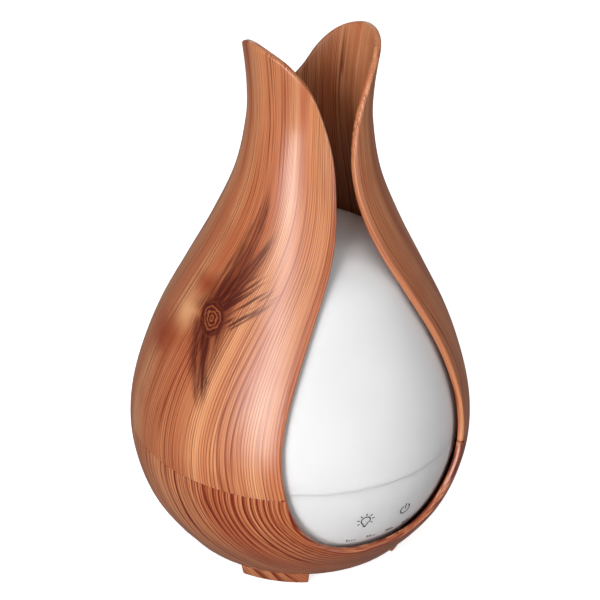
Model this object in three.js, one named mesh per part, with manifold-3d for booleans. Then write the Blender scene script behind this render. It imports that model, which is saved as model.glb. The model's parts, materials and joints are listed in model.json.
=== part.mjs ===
// Cool mist humidifier in the shape of a closed tulip: two petals of wood-grained shell round a white
// dome, over a bowl that holds the tank, the mist transducer, the fan and the electronics.
// Millimetres, +Z up, opening and touch icons towards -Y.

import * as THREE from 'three';
import { mergeVertices } from 'three/addons/utils/BufferGeometryUtils.js';
import Module from 'manifold-3d';

const wasm = await Module();
wasm.setup();

// ---------------------------------------------------------------- driving dimensions

// Outer profile of the wood-grained shell: [height, radius].
const SHELL_PROFILE = [
  [4, 57], [10, 61.2], [20, 69.1], [32, 76.5], [46, 81.4], [62, 84], [80, 82.9], [100, 77.8],
  [122, 69.4], [146, 57], [170, 44.4], [195, 33.7], [220, 28.8], [235, 28.7], [250, 30.3], [260, 32],
];
// Front edge of the opening and of the petals: [degrees from the front, height].
const OPENING_EDGE = [
  [0, 30], [14, 31], [24.5, 37.5], [33, 52], [37.5, 74], [38.6, 95], [35, 120], [27, 147],
  [15, 172], [9.5, 194], [10.2, 211], [18, 225], [28.5, 238], [42, 247.5], [62, 256], [90, 260],
];
const NOTCH_Z = 222; // bottom of the notch between the petals at the back
const SHELL_WALL = 3.3;
const SEAM_Z = 67; // where the lift-off cover meets the bowl
const SEAM_GAP = 0.3; // half of the gap between the cover and the bowl
const BODY_BOTTOM_Z = 5.3;
const FLANGE_TOP_Z = 8;
const WHITE_DEPTH = 5.6; // the white parts lie this far inside the shell's outer surface
const WHITE_WALL = 2;
const DOME_TURN_Z = 150; // shell height at which the dome leaves the shell and closes over
const DOME_TOP_Z = 170;
const DOME_CAP_REACH = 25; // half-width of the flat-topped middle of the dome
const DOME_HOLE_R = 9;
const DOME_RIB = { azimuths: [75, 130, 230, 285], half: 1, z: [69, 80, 95] };
const NOZZLE = { bore: 6.5, body: 8.7, flange: 12, bottom: 158, rise: 2, bevel: 0.6, flangeThick: 1 };
const TUBE = { inner: 9, wall: 2, mouth: 18, bottom: 93, top: 163 };
const GAP = 0.3; // between pieces that touch

const TANK_WALL_GAP = 1.3; // between the white housing and the tank
const TANK_FLOOR_Z = 33;
const TANK_LEDGE = { z: 31, reach: 3.2 }; // carries the tank floor
const HOUSING_LEDGE_Z = 64; // carries the tank's rim
const TANK_RIM_Z = 66.5;
const SPIGOT_TOP_Z = 72;
const TOUCH_POCKET = { y: -57.5, top: 60 }; // keeps the water clear of the touch board
const CHIMNEY = { x: -47, rx: 5, ry: 8, wall: 2, top: 84, flange: 2, flangeThick: 1.5 };
const WELL_R = 8; // hole in the tank floor over the mist disc

const FAN = { x: -22, size: 40, z: 11, height: 10, bore: 18, hub: 8.5, screw: 16 };
const INTAKE = { slots: 6, pitch: 5, width: 3, r: 16 };
const BOTTOM_SCREW_R = 40;
const SCREW_AZIMUTHS = [45, 135, 225, 315];
const FLANGE = { inner: 44.8, step: 48.5, stepZ: 6.8 }; // the bowl's floor ring, rebated for the bottom cover
const FOOT = { inner: 49, top: 56.6, floor: 54.7, bottom: 0.8, half: 17, centres: [43, 137, 223, 317] };
const PAD = { inner: 49.8, outer: 53.8, half: 14, recess: 0.8 };
const JACK = { z: 24, inner: 47, face: 60, recess: 6, barrel: 4, bore: 2.8, pin: 1 };
const BOARD = { x: 24, width: 40, depth: 44, z: 12.5, thick: 1.6, screwX: 6, screwY: 18, restX: 15 };
const TRANSDUCER_SCREW = { r: 15.5, azimuths: [0, 120, 240] };
const HOUSING_BOTTOM_Z = 8.6;
const HOUSING_POST = { r: 4, top: 22, bore: 1.9, boreTop: 19 };
const TOUCH_BOARD = { half: 20, front: -63.2, back: -61.8, low: 37, high: 53 };
const TOUCH_SPRING = { r: 3.2, wire: 0.4, turns: 3 };
const LEAD_R = 0.8;
const LED_RING = { inner: 24, outer: 33, z: 29.5, thick: 1.5, gap: 50, count: 6 };
const ICON_Z = 45;
const ICON_AZIMUTHS = [-8, 9.4];

const ROUND = 40; // sides of a full-size revolved part
const SMALL = 12; // sides of a small round part

// The bounding box is centred on the frame: the white panel at the front stands less far from the
// shell's axis than the bowl does at the back.
const AXIS_Y = -WHITE_DEPTH / 2;

// ---------------------------------------------------------------- materials

const finish = (color, roughness, metalness = 0) => ({ color, roughness, metalness });
const WOOD = finish(0xb8754c, 0.4);
const WHITE = finish(0xe6e6e6, 0.45);
const PALE = finish(0xf0f0ee, 0.5);
const RUBBER = finish(0x2a2523, 0.9);
const SILICONE = finish(0xd8d4cc, 0.8);
const STEEL = finish(0xb9bbbd, 0.3, 0.9);
const BRASS = finish(0xc9a24a, 0.3, 0.9);
const CIRCUIT = finish(0x1f6b45, 0.5);
const BLACK = finish(0x1b1b1d, 0.5);
const LED = finish(0xf4f0d8, 0.3);
const ALUMINIUM = finish(0xc4c6c8, 0.4, 0.9);
const COPPER = finish(0xb46a3c, 0.4, 0.8);
const WIRE = finish(0xb02a24, 0.6);

// ---------------------------------------------------------------- geometry helpers

const rad = THREE.MathUtils.degToRad;
const polar = (r, azimuth, z) => new THREE.Vector3(r * Math.sin(rad(azimuth)), -r * Math.cos(rad(azimuth)), z);

// Smooth curve through [x, y] knots with rising x: value and slope at x.
function splineAt(knots, x) {
  const last = knots.length - 1;
  let i = knots.findIndex((k) => k[0] >= x) - 1;
  if (x > knots[last][0]) i = last - 1;
  i = Math.max(i, 0);
  const slope = (k) => {
    const a = knots[Math.max(k - 1, 0)];
    const b = knots[Math.min(k + 1, last)];
    return (b[1] - a[1]) / (b[0] - a[0]);
  };
  const [x0, y0] = knots[i];
  const [x1, y1] = knots[i + 1];
  const w = x1 - x0;
  const t = (x - x0) / w;
  const m0 = slope(i) * w;
  const m1 = slope(i + 1) * w;
  const value = (2 * t ** 3 - 3 * t ** 2 + 1) * y0 + (t ** 3 - 2 * t ** 2 + t) * m0
    + (3 * t ** 2 - 2 * t ** 3) * y1 + (t ** 3 - t ** 2) * m1;
  const rise = (6 * t ** 2 - 6 * t) * (y0 - y1) + (3 * t ** 2 - 4 * t + 1) * m0 + (3 * t ** 2 - 2 * t) * m1;
  return { value, slope: rise / w };
}

// The point that lies a depth inside the shell's outer surface, square to it at height z: [r, z].
function inShell(z, depth = 0) {
  const { value, slope } = splineAt(SHELL_PROFILE, z);
  const n = Math.hypot(1, slope);
  return [value - depth / n, z + (depth * slope) / n];
}

// The radius a depth inside the shell's outer surface, at a height of its own.
function radiusAt(z, depth) {
  let on = z;
  for (let i = 0; i < 6; i += 1) on += z - inShell(on, depth)[1];
  return inShell(on, depth)[0];
}

// A run of profile points from one height to another, a depth inside the shell.
function run(z0, z1, depth, steps) {
  return Array.from({ length: steps + 1 }, (_, i) => {
    const z = z0 + ((z1 - z0) * i) / steps;
    return [radiusAt(z, depth), z];
  });
}

function closedGeometry(positions, indices) {
  const g = new THREE.BufferGeometry();
  g.setAttribute('position', new THREE.Float32BufferAttribute(positions, 3));
  g.setIndex(indices);
  return facingOut(mergeVertices(g, 1e-4));
}

// Drops triangles that have no area and turns the faces out.
function facingOut(g) {
  const p = g.attributes.position;
  const old = g.index.array;
  const kept = [];
  let volume = 0;
  const [a, b, c] = [new THREE.Vector3(), new THREE.Vector3(), new THREE.Vector3()];
  for (let i = 0; i < old.length; i += 3) {
    const [u, v, w] = [old[i], old[i + 1], old[i + 2]];
    if (u === v || v === w || w === u) continue;
    kept.push(u, v, w);
    a.fromBufferAttribute(p, u);
    b.fromBufferAttribute(p, v);
    c.fromBufferAttribute(p, w);
    volume += a.dot(b.clone().cross(c));
  }
  if (volume < 0) {
    for (let i = 0; i < kept.length; i += 3) [kept[i + 1], kept[i + 2]] = [kept[i + 2], kept[i + 1]];
  }
  g.setIndex(kept);
  return g;
}

// A solid through rings of points with equal counts. Its ends are closed flat, or joined to each other.
function throughRings(rings, joined) {
  const n = rings[0].length;
  const positions = rings.flat().flatMap((p) => [p.x, p.y, p.z]);
  const indices = [];
  const spans = joined ? rings.length : rings.length - 1;
  for (let j = 0; j < spans; j += 1) {
    const next = (j + 1) % rings.length;
    for (let i = 0; i < n; i += 1) {
      const [a, b] = [j * n + i, j * n + ((i + 1) % n)];
      const [c, d] = [next * n + i, next * n + ((i + 1) % n)];
      indices.push(a, b, d, a, d, c);
    }
  }
  if (!joined) {
    const end = (rings.length - 1) * n;
    for (let i = 1; i < n - 1; i += 1) indices.push(0, i + 1, i, end, end + i, end + i + 1);
  }
  return closedGeometry(positions, indices);
}

// A body turned about the vertical axis from a closed [r, z] outline.
function turned(outline, sides = ROUND) {
  const points = [...outline, outline[0]].map(([r, z]) => new THREE.Vector2(r, z));
  return bare(new THREE.LatheGeometry(points, sides).rotateX(Math.PI / 2));
}

const ring = (inner, outer, z0, z1, sides = ROUND) =>
  turned([[inner, z0], [outer, z0], [outer, z1], [inner, z1]], sides);
const disc = (r, z0, z1, sides = SMALL) => turned([[0, z0], [r, z0], [r, z1], [0, z1]], sides);

function block(x0, x1, y0, y1, z0, z1) {
  const g = new THREE.BoxGeometry(x1 - x0, y1 - y0, z1 - z0);
  g.translate((x0 + x1) / 2, (y0 + y1) / 2, (z0 + z1) / 2);
  return bare(g);
}

// Positions only, with equal corners merged.
function bare(g) {
  g.deleteAttribute('normal');
  g.deleteAttribute('uv');
  return facingOut(mergeVertices(g, 1e-4));
}

const moved = (g, x, y) => g.clone().translate(x, y, 0);

// A round rod from one point to another.
function rod(from, to, r, sides = SMALL) {
  const g = new THREE.CylinderGeometry(r, r, from.distanceTo(to), sides);
  const along = to.clone().sub(from).normalize();
  g.applyQuaternion(new THREE.Quaternion().setFromUnitVectors(new THREE.Vector3(0, 1, 0), along));
  g.translate((from.x + to.x) / 2, (from.y + to.y) / 2, (from.z + to.z) / 2);
  return bare(g);
}

// A round section of a given number of sides, pushed along a curve.
function pushed(curve, r, sides, steps) {
  const section = new THREE.Shape();
  for (let i = 0; i < sides; i += 1) {
    const t = (2 * Math.PI * i) / sides;
    if (i === 0) section.moveTo(r, 0);
    else section.lineTo(r * Math.cos(t), r * Math.sin(t));
  }
  return bare(new THREE.ExtrudeGeometry(section, { steps, extrudePath: curve, curveSegments: 1 }));
}

function asManifold(g) {
  const m = mergeVertices(g, 1e-4);
  return new wasm.Manifold(new wasm.Mesh({
    numProp: 3,
    vertProperties: new Float32Array(m.attributes.position.array),
    triVerts: new Uint32Array(m.index.array),
  }));
}

function asGeometry(manifold) {
  const mesh = manifold.getMesh();
  const g = new THREE.BufferGeometry();
  g.setAttribute('position', new THREE.BufferAttribute(mesh.vertProperties, 3));
  g.setIndex(new THREE.BufferAttribute(mesh.triVerts, 1));
  return g;
}

// One geometry joined with some and cut by others.
function worked(base, joins, cuts = []) {
  let m = asManifold(base);
  for (const g of joins) m = m.add(asManifold(g));
  for (const g of cuts) m = m.subtract(asManifold(g));
  return asGeometry(m);
}

function named(name, geometry, look) {
  const g = geometry.toNonIndexed();
  g.computeVertexNormals();
  const mesh = new THREE.Mesh(g, new THREE.MeshStandardMaterial(look));
  mesh.name = name;
  return mesh;
}

// ---------------------------------------------------------------- the opening's edge

// The edge as a smooth curve, from the bottom of the opening to a petal's tip.
const edge = new THREE.SplineCurve(OPENING_EDGE.map(([azimuth, z]) => new THREE.Vector2(azimuth, z)));

// Degrees from the front of the edge at a height, on the stretch that rises.
function edgeAzimuth(z) {
  let [low, high] = [0.03, 1];
  for (let i = 0; i < 40; i += 1) {
    const middle = (low + high) / 2;
    if (edge.getPoint(middle).y < z) low = middle;
    else high = middle;
  }
  return edge.getPoint(low).x;
}

// Height of the opening's lower edge, or of the seam where the opening is wider.
function bowlTop(azimuth) {
  const seam = SEAM_Z - SEAM_GAP;
  const a = Math.abs(azimuth);
  if (a >= edgeAzimuth(seam)) return seam;
  let [low, high] = [0, 0.3];
  for (let i = 0; i < 40; i += 1) {
    const middle = (low + high) / 2;
    if (edge.getPoint(middle).x < a) low = middle;
    else high = middle;
  }
  return Math.min(edge.getPoint(low).y, seam);
}

// ---------------------------------------------------------------- lift-off cover

// One half of the petal shell, from its front edge to the back: a sheet with two faces.
function petalHalf(side) {
  const heights = [SEAM_Z + SEAM_GAP, 80, 95, 110, 126, 142, 157, 171, 184, 196, 209, NOTCH_Z,
    230, 237, 244, 250, 255, 258.5, 260];
  const columns = 12;
  const notch = heights.indexOf(NOTCH_Z);
  const last = heights.length - 1;
  const width = columns + 1;
  const positions = [];
  heights.forEach((z, j) => {
    const front = j === last ? 86 : Math.min(edgeAzimuth(z), 86);
    const back = j <= notch ? 180 : 180 - front * Math.min(1, (z - NOTCH_Z) / 12);
    for (const depth of [0, SHELL_WALL]) {
      const [r, height] = inShell(z, depth);
      for (let i = 0; i < width; i += 1) {
        const azimuth = front + ((back - front) * i) / columns;
        const p = polar(r, azimuth * side, j === 0 ? z : height);
        if (azimuth === 180) p.x = 0;
        positions.push(p.x, p.y, p.z);
      }
    }
  });
  const at = (j, layer, i) => (2 * j + layer) * width + i;
  const indices = [];
  const quad = (a, b, c, d) => {
    if (side > 0) indices.push(a, b, c, a, c, d);
    else indices.push(a, c, b, a, d, c);
  };
  for (let j = 0; j < last; j += 1) {
    for (let i = 0; i < columns; i += 1) {
      quad(at(j, 0, i), at(j, 0, i + 1), at(j + 1, 0, i + 1), at(j + 1, 0, i));
      quad(at(j, 1, i), at(j + 1, 1, i), at(j + 1, 1, i + 1), at(j, 1, i + 1));
    }
    quad(at(j, 0, 0), at(j + 1, 0, 0), at(j + 1, 1, 0), at(j, 1, 0));
    if (j >= notch) {
      quad(at(j, 0, columns), at(j, 1, columns), at(j + 1, 1, columns), at(j + 1, 0, columns));
    }
  }
  for (let i = 0; i < columns; i += 1) {
    quad(at(0, 0, i), at(0, 1, i), at(0, 1, i + 1), at(0, 0, i + 1));
    quad(at(last, 0, i), at(last, 0, i + 1), at(last, 1, i + 1), at(last, 1, i));
  }
  return { positions, indices };
}

function petalShell() {
  const right = petalHalf(1);
  const left = petalHalf(-1);
  const offset = right.positions.length / 3;
  const positions = [...right.positions, ...left.positions];
  const indices = [...right.indices, ...left.indices.map((i) => i + offset)];
  return named('petal_shell', closedGeometry(positions, indices), WOOD);
}

// Profile of the dome a depth inside the shell: up the shell, then over the top to the axis.
function domeLine(depth, steps) {
  const side = run(SEAM_Z, inShell(DOME_TURN_Z, depth)[1] - 0.5, depth, steps);
  const [r, z] = side[side.length - 1];
  const top = DOME_TOP_Z - (depth - WHITE_DEPTH);
  const { slope } = splineAt(SHELL_PROFILE, DOME_TURN_Z);
  const lift = 0.4 * (top - z);
  const cap = new THREE.CubicBezierCurve(
    new THREE.Vector2(r, z),
    new THREE.Vector2(r + slope * lift, z + lift),
    new THREE.Vector2(DOME_CAP_REACH, top),
    new THREE.Vector2(0, top),
  );
  return [...side, ...cap.getPoints(steps).slice(1).map((p) => [p.x, p.y])];
}

function domeDiffuser() {
  const shell = turned([...domeLine(WHITE_DEPTH, 6), ...domeLine(WHITE_DEPTH + WHITE_WALL, 6).reverse()]);
  const ribs = DOME_RIB.azimuths.map((azimuth) => {
    const [a, b] = [azimuth - DOME_RIB.half, azimuth + DOME_RIB.half];
    const section = (z) => [
      polar(radiusAt(z, WHITE_DEPTH + 1), a, z),
      polar(radiusAt(z, WHITE_DEPTH + 1), b, z),
      polar(radiusAt(z, SHELL_WALL + 1), b, z),
      polar(radiusAt(z, SHELL_WALL + 1), a, z),
    ];
    return throughRings(DOME_RIB.z.map(section), false);
  });
  const hole = disc(DOME_HOLE_R, DOME_TOP_Z - 10, DOME_TOP_Z + 10, 24);
  return named('dome_diffuser', worked(shell, ribs, [hole]), WHITE);
}

function mistNozzle() {
  const { bore, body, flange, bottom, rise, bevel, flangeThick } = NOZZLE;
  const top = DOME_TOP_Z + rise;
  const under = top - bevel - flangeThick;
  const outline = [
    [bore, bottom], [body, bottom], [body, under], [flange, under], [flange, top - bevel], [flange - bevel, top],
    [bore + bevel, top], [bore, top - bevel],
  ];
  return named('mist_nozzle', turned(outline, 24), WHITE);
}

// A straight tube that opens downwards into a funnel.
function mistTube() {
  const { inner, wall, mouth, bottom, top } = TUBE;
  const outline = [
    [inner, top], [inner, bottom + 11], [inner + 3, bottom + 5], [mouth, bottom], [mouth + 1.5, bottom],
    [mouth + 1.5, bottom + 1.5], [inner + wall + 2.8, bottom + 6], [inner + wall, bottom + 12],
    [inner + wall, top],
  ];
  return named('mist_tube', turned(outline, 24), PALE);
}

// ---------------------------------------------------------------- base shell and covers

// The bowl: cross-sections round the axis, each closed from the outer face over the top edge to the flange.
function bowl() {
  const steps = 6;
  const corner = edgeAzimuth(SEAM_Z - SEAM_GAP);
  const front = [0, 7, 14, 20, 26, 31, 34.5, corner];
  const side = Array.from({ length: 15 }, (_, i) => 45 + 9 * (i + 1));
  const half = [...front, 45, ...side];
  const azimuths = [...half, ...half.slice(1, -1).reverse().map((a) => 360 - a)];
  const rings = azimuths.map((azimuth) => {
    const top = bowlTop(azimuth > 180 ? azimuth - 360 : azimuth);
    const outer = run(BODY_BOTTOM_Z, top, 0, steps);
    const inner = run(FLANGE_TOP_Z, top, SHELL_WALL, steps).reverse();
    const { inner: bore, step, stepZ } = FLANGE;
    const flange = [[bore, FLANGE_TOP_Z], [bore, stepZ], [step, stepZ], [step, BODY_BOTTOM_Z]];
    return [...outer, ...inner, ...flange].map(([r, z]) => polar(r, azimuth, z));
  });
  return throughRings(rings, true);
}

function arcFoot(centre) {
  const ends = [-1, -0.93, -0.6, -0.2, 0.2, 0.6, 0.93, 1];
  const rings = ends.map((s) => {
    const azimuth = centre + s * FOOT.half;
    const pinch = Math.abs(s) === 1 ? 0.8 : 0;
    const low = FOOT.bottom + pinch;
    return [
      polar(FOOT.inner + pinch, azimuth, BODY_BOTTOM_Z + 0.5),
      polar(FOOT.top - pinch, azimuth, BODY_BOTTOM_Z + 0.5),
      polar(FOOT.floor - pinch, azimuth, low),
      polar(FOOT.inner + pinch, azimuth, low),
    ];
  });
  return throughRings(rings, false);
}

// An arc-shaped block, from one azimuth to another.
function arcBlock(inner, outer, centre, half, z0, z1, steps = 5) {
  const section = [[inner, z0], [outer, z0], [outer, z1], [inner, z1]];
  const rings = Array.from({ length: steps + 1 }, (_, i) => {
    const azimuth = centre + half * ((2 * i) / steps - 1);
    return section.map(([r, z]) => polar(r, azimuth, z));
  });
  return throughRings(rings, false);
}

function lowerShell() {
  const roof = FOOT.bottom + PAD.recess + GAP;
  const pockets = FOOT.centres.map((c) =>
    arcBlock(PAD.inner - GAP, PAD.outer + GAP, c, PAD.half + 0.4, FOOT.bottom - 1, roof));
  const jackHole = rod(new THREE.Vector3(0, 55, JACK.z), new THREE.Vector3(0, 90, JACK.z), JACK.recess);
  return named('lower_shell', worked(bowl(), FOOT.centres.map(arcFoot), [...pockets, jackHole]), WOOD);
}

function footPads() {
  const top = FOOT.bottom + PAD.recess;
  return FOOT.centres.map((c, i) =>
    named(`foot_pad_${i + 1}`, arcBlock(PAD.inner, PAD.outer, c, PAD.half, 0, top), RUBBER));
}

function bottomCover() {
  const rim = FLANGE.step - GAP;
  const shelf = FLANGE.inner - GAP;
  const shelfZ = FLANGE.stepZ - GAP;
  const plate = turned([
    [0, BODY_BOTTOM_Z], [rim, BODY_BOTTOM_Z], [rim, shelfZ], [shelf, shelfZ], [shelf, FLANGE_TOP_Z],
    [0, FLANGE_TOP_Z],
  ]);
  const fanPost = disc(2.2, FLANGE_TOP_Z - 0.5, FAN.z - GAP);
  const boardPost = disc(2.6, FLANGE_TOP_Z - 0.5, BOARD.z - GAP);
  const posts = [];
  const cuts = [];
  for (const s of [-1, 1]) {
    posts.push(moved(fanPost, FAN.x - FAN.screw, s * FAN.screw));
    posts.push(moved(fanPost, FAN.x + FAN.screw, s * FAN.screw));
    posts.push(moved(boardPost, BOARD.x + BOARD.screwX, s * BOARD.screwY));
    posts.push(moved(boardPost, BOARD.x - BOARD.restX, s * BOARD.screwY));
    cuts.push(moved(disc(1.6, FLANGE_TOP_Z, BOARD.z, 10), BOARD.x + BOARD.screwX, s * BOARD.screwY));
    cuts.push(moved(disc(1.4, FLANGE_TOP_Z, FAN.z, 10), FAN.x + s * FAN.screw, s * FAN.screw));
  }
  for (let i = 0; i < INTAKE.slots; i += 1) {
    const x = (i - (INTAKE.slots - 1) / 2) * INTAKE.pitch;
    const half = Math.sqrt(INTAKE.r ** 2 - x ** 2);
    cuts.push(block(FAN.x + x - INTAKE.width / 2, FAN.x + x + INTAKE.width / 2, -half, half, 4, 9));
  }
  for (const azimuth of SCREW_AZIMUTHS) {
    const p = polar(BOTTOM_SCREW_R, azimuth, 0);
    cuts.push(moved(disc(1.9, 4, 9), p.x, p.y));
    cuts.push(moved(disc(3.3, 4, 6.9), p.x, p.y));
  }
  return named('bottom_cover', worked(plate, posts, cuts), WOOD);
}

// A pan-head screw, head down at z, shank up.
function screwGeometry(headR, headHeight, shankR, length) {
  const outline = [
    [0, 0], [headR * 0.8, 0], [headR, headHeight * 0.5], [headR, headHeight], [shankR, headHeight],
    [shankR, headHeight + length - 1], [0, headHeight + length],
  ];
  return turned(outline, 10);
}

function bottomScrews() {
  return SCREW_AZIMUTHS.map((azimuth, i) => {
    const screw = named(`bottom_screw_${i + 1}`, screwGeometry(3, 1.3, 1.5, 10), STEEL);
    screw.position.copy(polar(BOTTOM_SCREW_R, azimuth, BODY_BOTTOM_Z));
    return screw;
  });
}

// The white liner of the bowl: its front shows in the opening and carries the touch icons.
function baseHousing() {
  const bottom = HOUSING_BOTTOM_Z;
  const inside = WHITE_DEPTH + WHITE_WALL;
  const top = SEAM_Z - SEAM_GAP;
  const lip = WHITE_DEPTH + 1;
  const outline = [
    ...run(bottom, top, WHITE_DEPTH, 7),
    [radiusAt(top, lip), top],
    [radiusAt(HOUSING_LEDGE_Z, lip), HOUSING_LEDGE_Z],
    ...run(HOUSING_LEDGE_Z, bottom, inside, 6),
  ];
  const joins = [];
  const cuts = [];
  for (const azimuth of SCREW_AZIMUTHS) {
    const p = polar(BOTTOM_SCREW_R, azimuth, 0);
    joins.push(moved(disc(HOUSING_POST.r, bottom, HOUSING_POST.top, 16), p.x, p.y));
    const rib = block(-1, 1, -radiusAt(14, lip), -BOTTOM_SCREW_R - 2, 12, HOUSING_POST.top);
    joins.push(rib.rotateZ(rad(azimuth)));
    cuts.push(moved(disc(HOUSING_POST.bore, bottom - 1, HOUSING_POST.boreTop), p.x, p.y));
  }
  // Two fins hold the touch board by its ends.
  const { half, low, high } = TOUCH_BOARD;
  const reach = -radiusAt(low, lip) * 0.94;
  joins.push(block(half + GAP, half + GAP + 2, reach, -60, low - 1, high + 1));
  joins.push(block(-half - GAP - 2, -half - GAP, reach, -60, low - 1, high + 1));
  cuts.push(rod(new THREE.Vector3(0, 40, JACK.z), new THREE.Vector3(0, 80, JACK.z), JACK.recess));
  return named('base_housing', worked(turned(outline), joins, cuts), WHITE);
}

// ---------------------------------------------------------------- tank and transducer

const ellipse = (x, rx, ry, z, n = 24) => Array.from({ length: n }, (_, i) => {
  const t = (2 * Math.PI * i) / n;
  return new THREE.Vector3(x + rx * Math.cos(t), ry * Math.sin(t), z);
});

function chimneyRod(spread, z0, z1) {
  const { x, rx, ry } = CHIMNEY;
  const section = (z) => ellipse(x, rx + spread, ry + spread, z);
  return throughRings([section(z0), section(z1)], false);
}

// Underside of the floor plate's seat, and the tank's inner radius there.
const tankFloorZ = TANK_FLOOR_Z - GAP;
const tankFloorR = radiusAt(TANK_FLOOR_Z, WHITE_DEPTH + WHITE_WALL + TANK_WALL_GAP + WHITE_WALL);

// The tank's wall: over the ledge that carries its floor, with a flat front behind the touch board.
function waterTank() {
  const wall = WHITE_DEPTH + WHITE_WALL + TANK_WALL_GAP;
  const inside = wall + WHITE_WALL;
  const low = TANK_LEDGE.z;
  const rim = HOUSING_LEDGE_Z + GAP;
  const lip = WHITE_DEPTH + 1 + GAP;
  const spigot = WHITE_DEPTH + WHITE_WALL + 0.6;
  const back = TOUCH_POCKET.y + WHITE_WALL;
  const behind = (y) => block(-90, 90, y, 90, low - 1, SPIGOT_TOP_Z + 2);
  const above = (z) => block(-90, 90, -90, 90, z, SPIGOT_TOP_Z + 2);
  const outer = turned([
    [0, low], ...run(low, rim, wall, 5), [radiusAt(rim, lip), rim],
    [radiusAt(TANK_RIM_Z, lip), TANK_RIM_Z], [radiusAt(TANK_RIM_Z, spigot), TANK_RIM_Z],
    [radiusAt(SPIGOT_TOP_Z, spigot), SPIGOT_TOP_Z], [0, SPIGOT_TOP_Z],
  ]);
  const top = SPIGOT_TOP_Z + 1;
  const hollow = turned([[0, tankFloorZ], ...run(tankFloorZ, top, inside, 6), [0, top]]);
  const outside = worked(behind(TOUCH_POCKET.y), [above(TOUCH_POCKET.top)]);
  const within = worked(behind(back), [above(TOUCH_POCKET.top + WHITE_WALL)]);
  const opened = asManifold(outer).intersect(asManifold(outside));
  const water = asManifold(hollow).intersect(asManifold(within));
  const throat = asManifold(disc(tankFloorR - TANK_LEDGE.reach, low - 1, tankFloorZ + 1, ROUND));
  const mouth = throat.intersect(asManifold(behind(back + TANK_LEDGE.reach)));
  return named('water_tank', asGeometry(opened.subtract(water).subtract(mouth)), PALE);
}

// The tank's floor plate, with the well over the mist disc, the chimney's hole and bosses for the transducer.
function tankFloor() {
  const top = TANK_FLOOR_Z + WHITE_WALL;
  const y = TOUCH_POCKET.y + WHITE_WALL + GAP;
  const low = TANK_FLOOR_Z - 1;
  const plate = asManifold(disc(tankFloorR - GAP, TANK_FLOOR_Z, top, ROUND));
  const cut = asManifold(block(-90, 90, -90, y, low, top + 1));
  const joins = [];
  const cuts = [chimneyRod(CHIMNEY.wall + GAP, low, top + 1), disc(WELL_R, low, top + 1, 24)];
  for (const azimuth of TRANSDUCER_SCREW.azimuths) {
    const p = polar(TRANSDUCER_SCREW.r, azimuth, 0);
    joins.push(moved(disc(2.6, 30.3, top - 1), p.x, p.y));
    cuts.push(moved(disc(1.4, 30, top - 0.8), p.x, p.y));
  }
  return named('tank_floor', worked(asGeometry(plate.subtract(cut)), joins, cuts), PALE);
}

// The air chimney stands in the tank floor on its flange and keeps its mouth above the water.
function airChimney() {
  const { wall, top, flange, flangeThick } = CHIMNEY;
  const under = TANK_FLOOR_Z + WHITE_WALL + GAP;
  const skirt = chimneyRod(wall + flange, under, under + flangeThick);
  const tube = chimneyRod(wall, TANK_FLOOR_Z, top);
  return named('air_chimney', worked(tube, [skirt], [chimneyRod(0, TANK_FLOOR_Z - 1, top + 1)]), PALE);
}

function transducer() {
  const seal = turned([
    [7, 30.3], [11.5, 30.3], [11.5, 32.7], [7, 32.7], [7, 32.2], [10.3, 32.2], [10.3, 30.9], [7, 30.9],
  ], 24);
  const plate = ring(8, 19, 28.6, 30, 32);
  const { r, azimuths } = TRANSDUCER_SCREW;
  const holes = azimuths.map((azimuth) => {
    const p = polar(r, azimuth, 0);
    return moved(disc(1.5, 28, 31), p.x, p.y);
  });
  const screws = azimuths.map((azimuth, i) => {
    const screw = named(`transducer_screw_${i + 1}`, screwGeometry(2.4, 1.2, 1.1, 5), STEEL);
    screw.position.copy(polar(r, azimuth, 27.1));
    return screw;
  });
  return [
    named('transducer_seal', seal, SILICONE),
    named('piezo_disc', disc(10, 31.2, 31.9, 24), BRASS),
    named('transducer_plate', worked(plate, [], holes), STEEL),
    ...screws,
  ];
}

// ---------------------------------------------------------------- lights and electronics

function lights() {
  const { inner, outer, z, thick, gap, count } = LED_RING;
  const board = named('led_board', arcBlock(inner, outer, 90, 180 - gap, z, z + thick, 20), CIRCUIT);
  const leds = Array.from({ length: count }, (_, i) => {
    const azimuth = 90 + (i - (count - 1) / 2) * 45;
    const led = named(`led_${i + 1}`, block(-1.8, 1.8, -1.8, 1.8, 0, 1.3), LED);
    led.position.copy(polar((inner + outer) / 2, azimuth, z + thick + GAP));
    led.rotation.z = rad(azimuth);
    return led;
  });
  return [board, ...leds];
}

function heatSink() {
  const fins = Array.from({ length: 5 }, (_, i) => block(-8 + i * 3.6, -6.4 + i * 3.6, -5, 5, 2, 12));
  return worked(block(-8, 8, -5, 5, 0, 2.5), fins);
}

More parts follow.
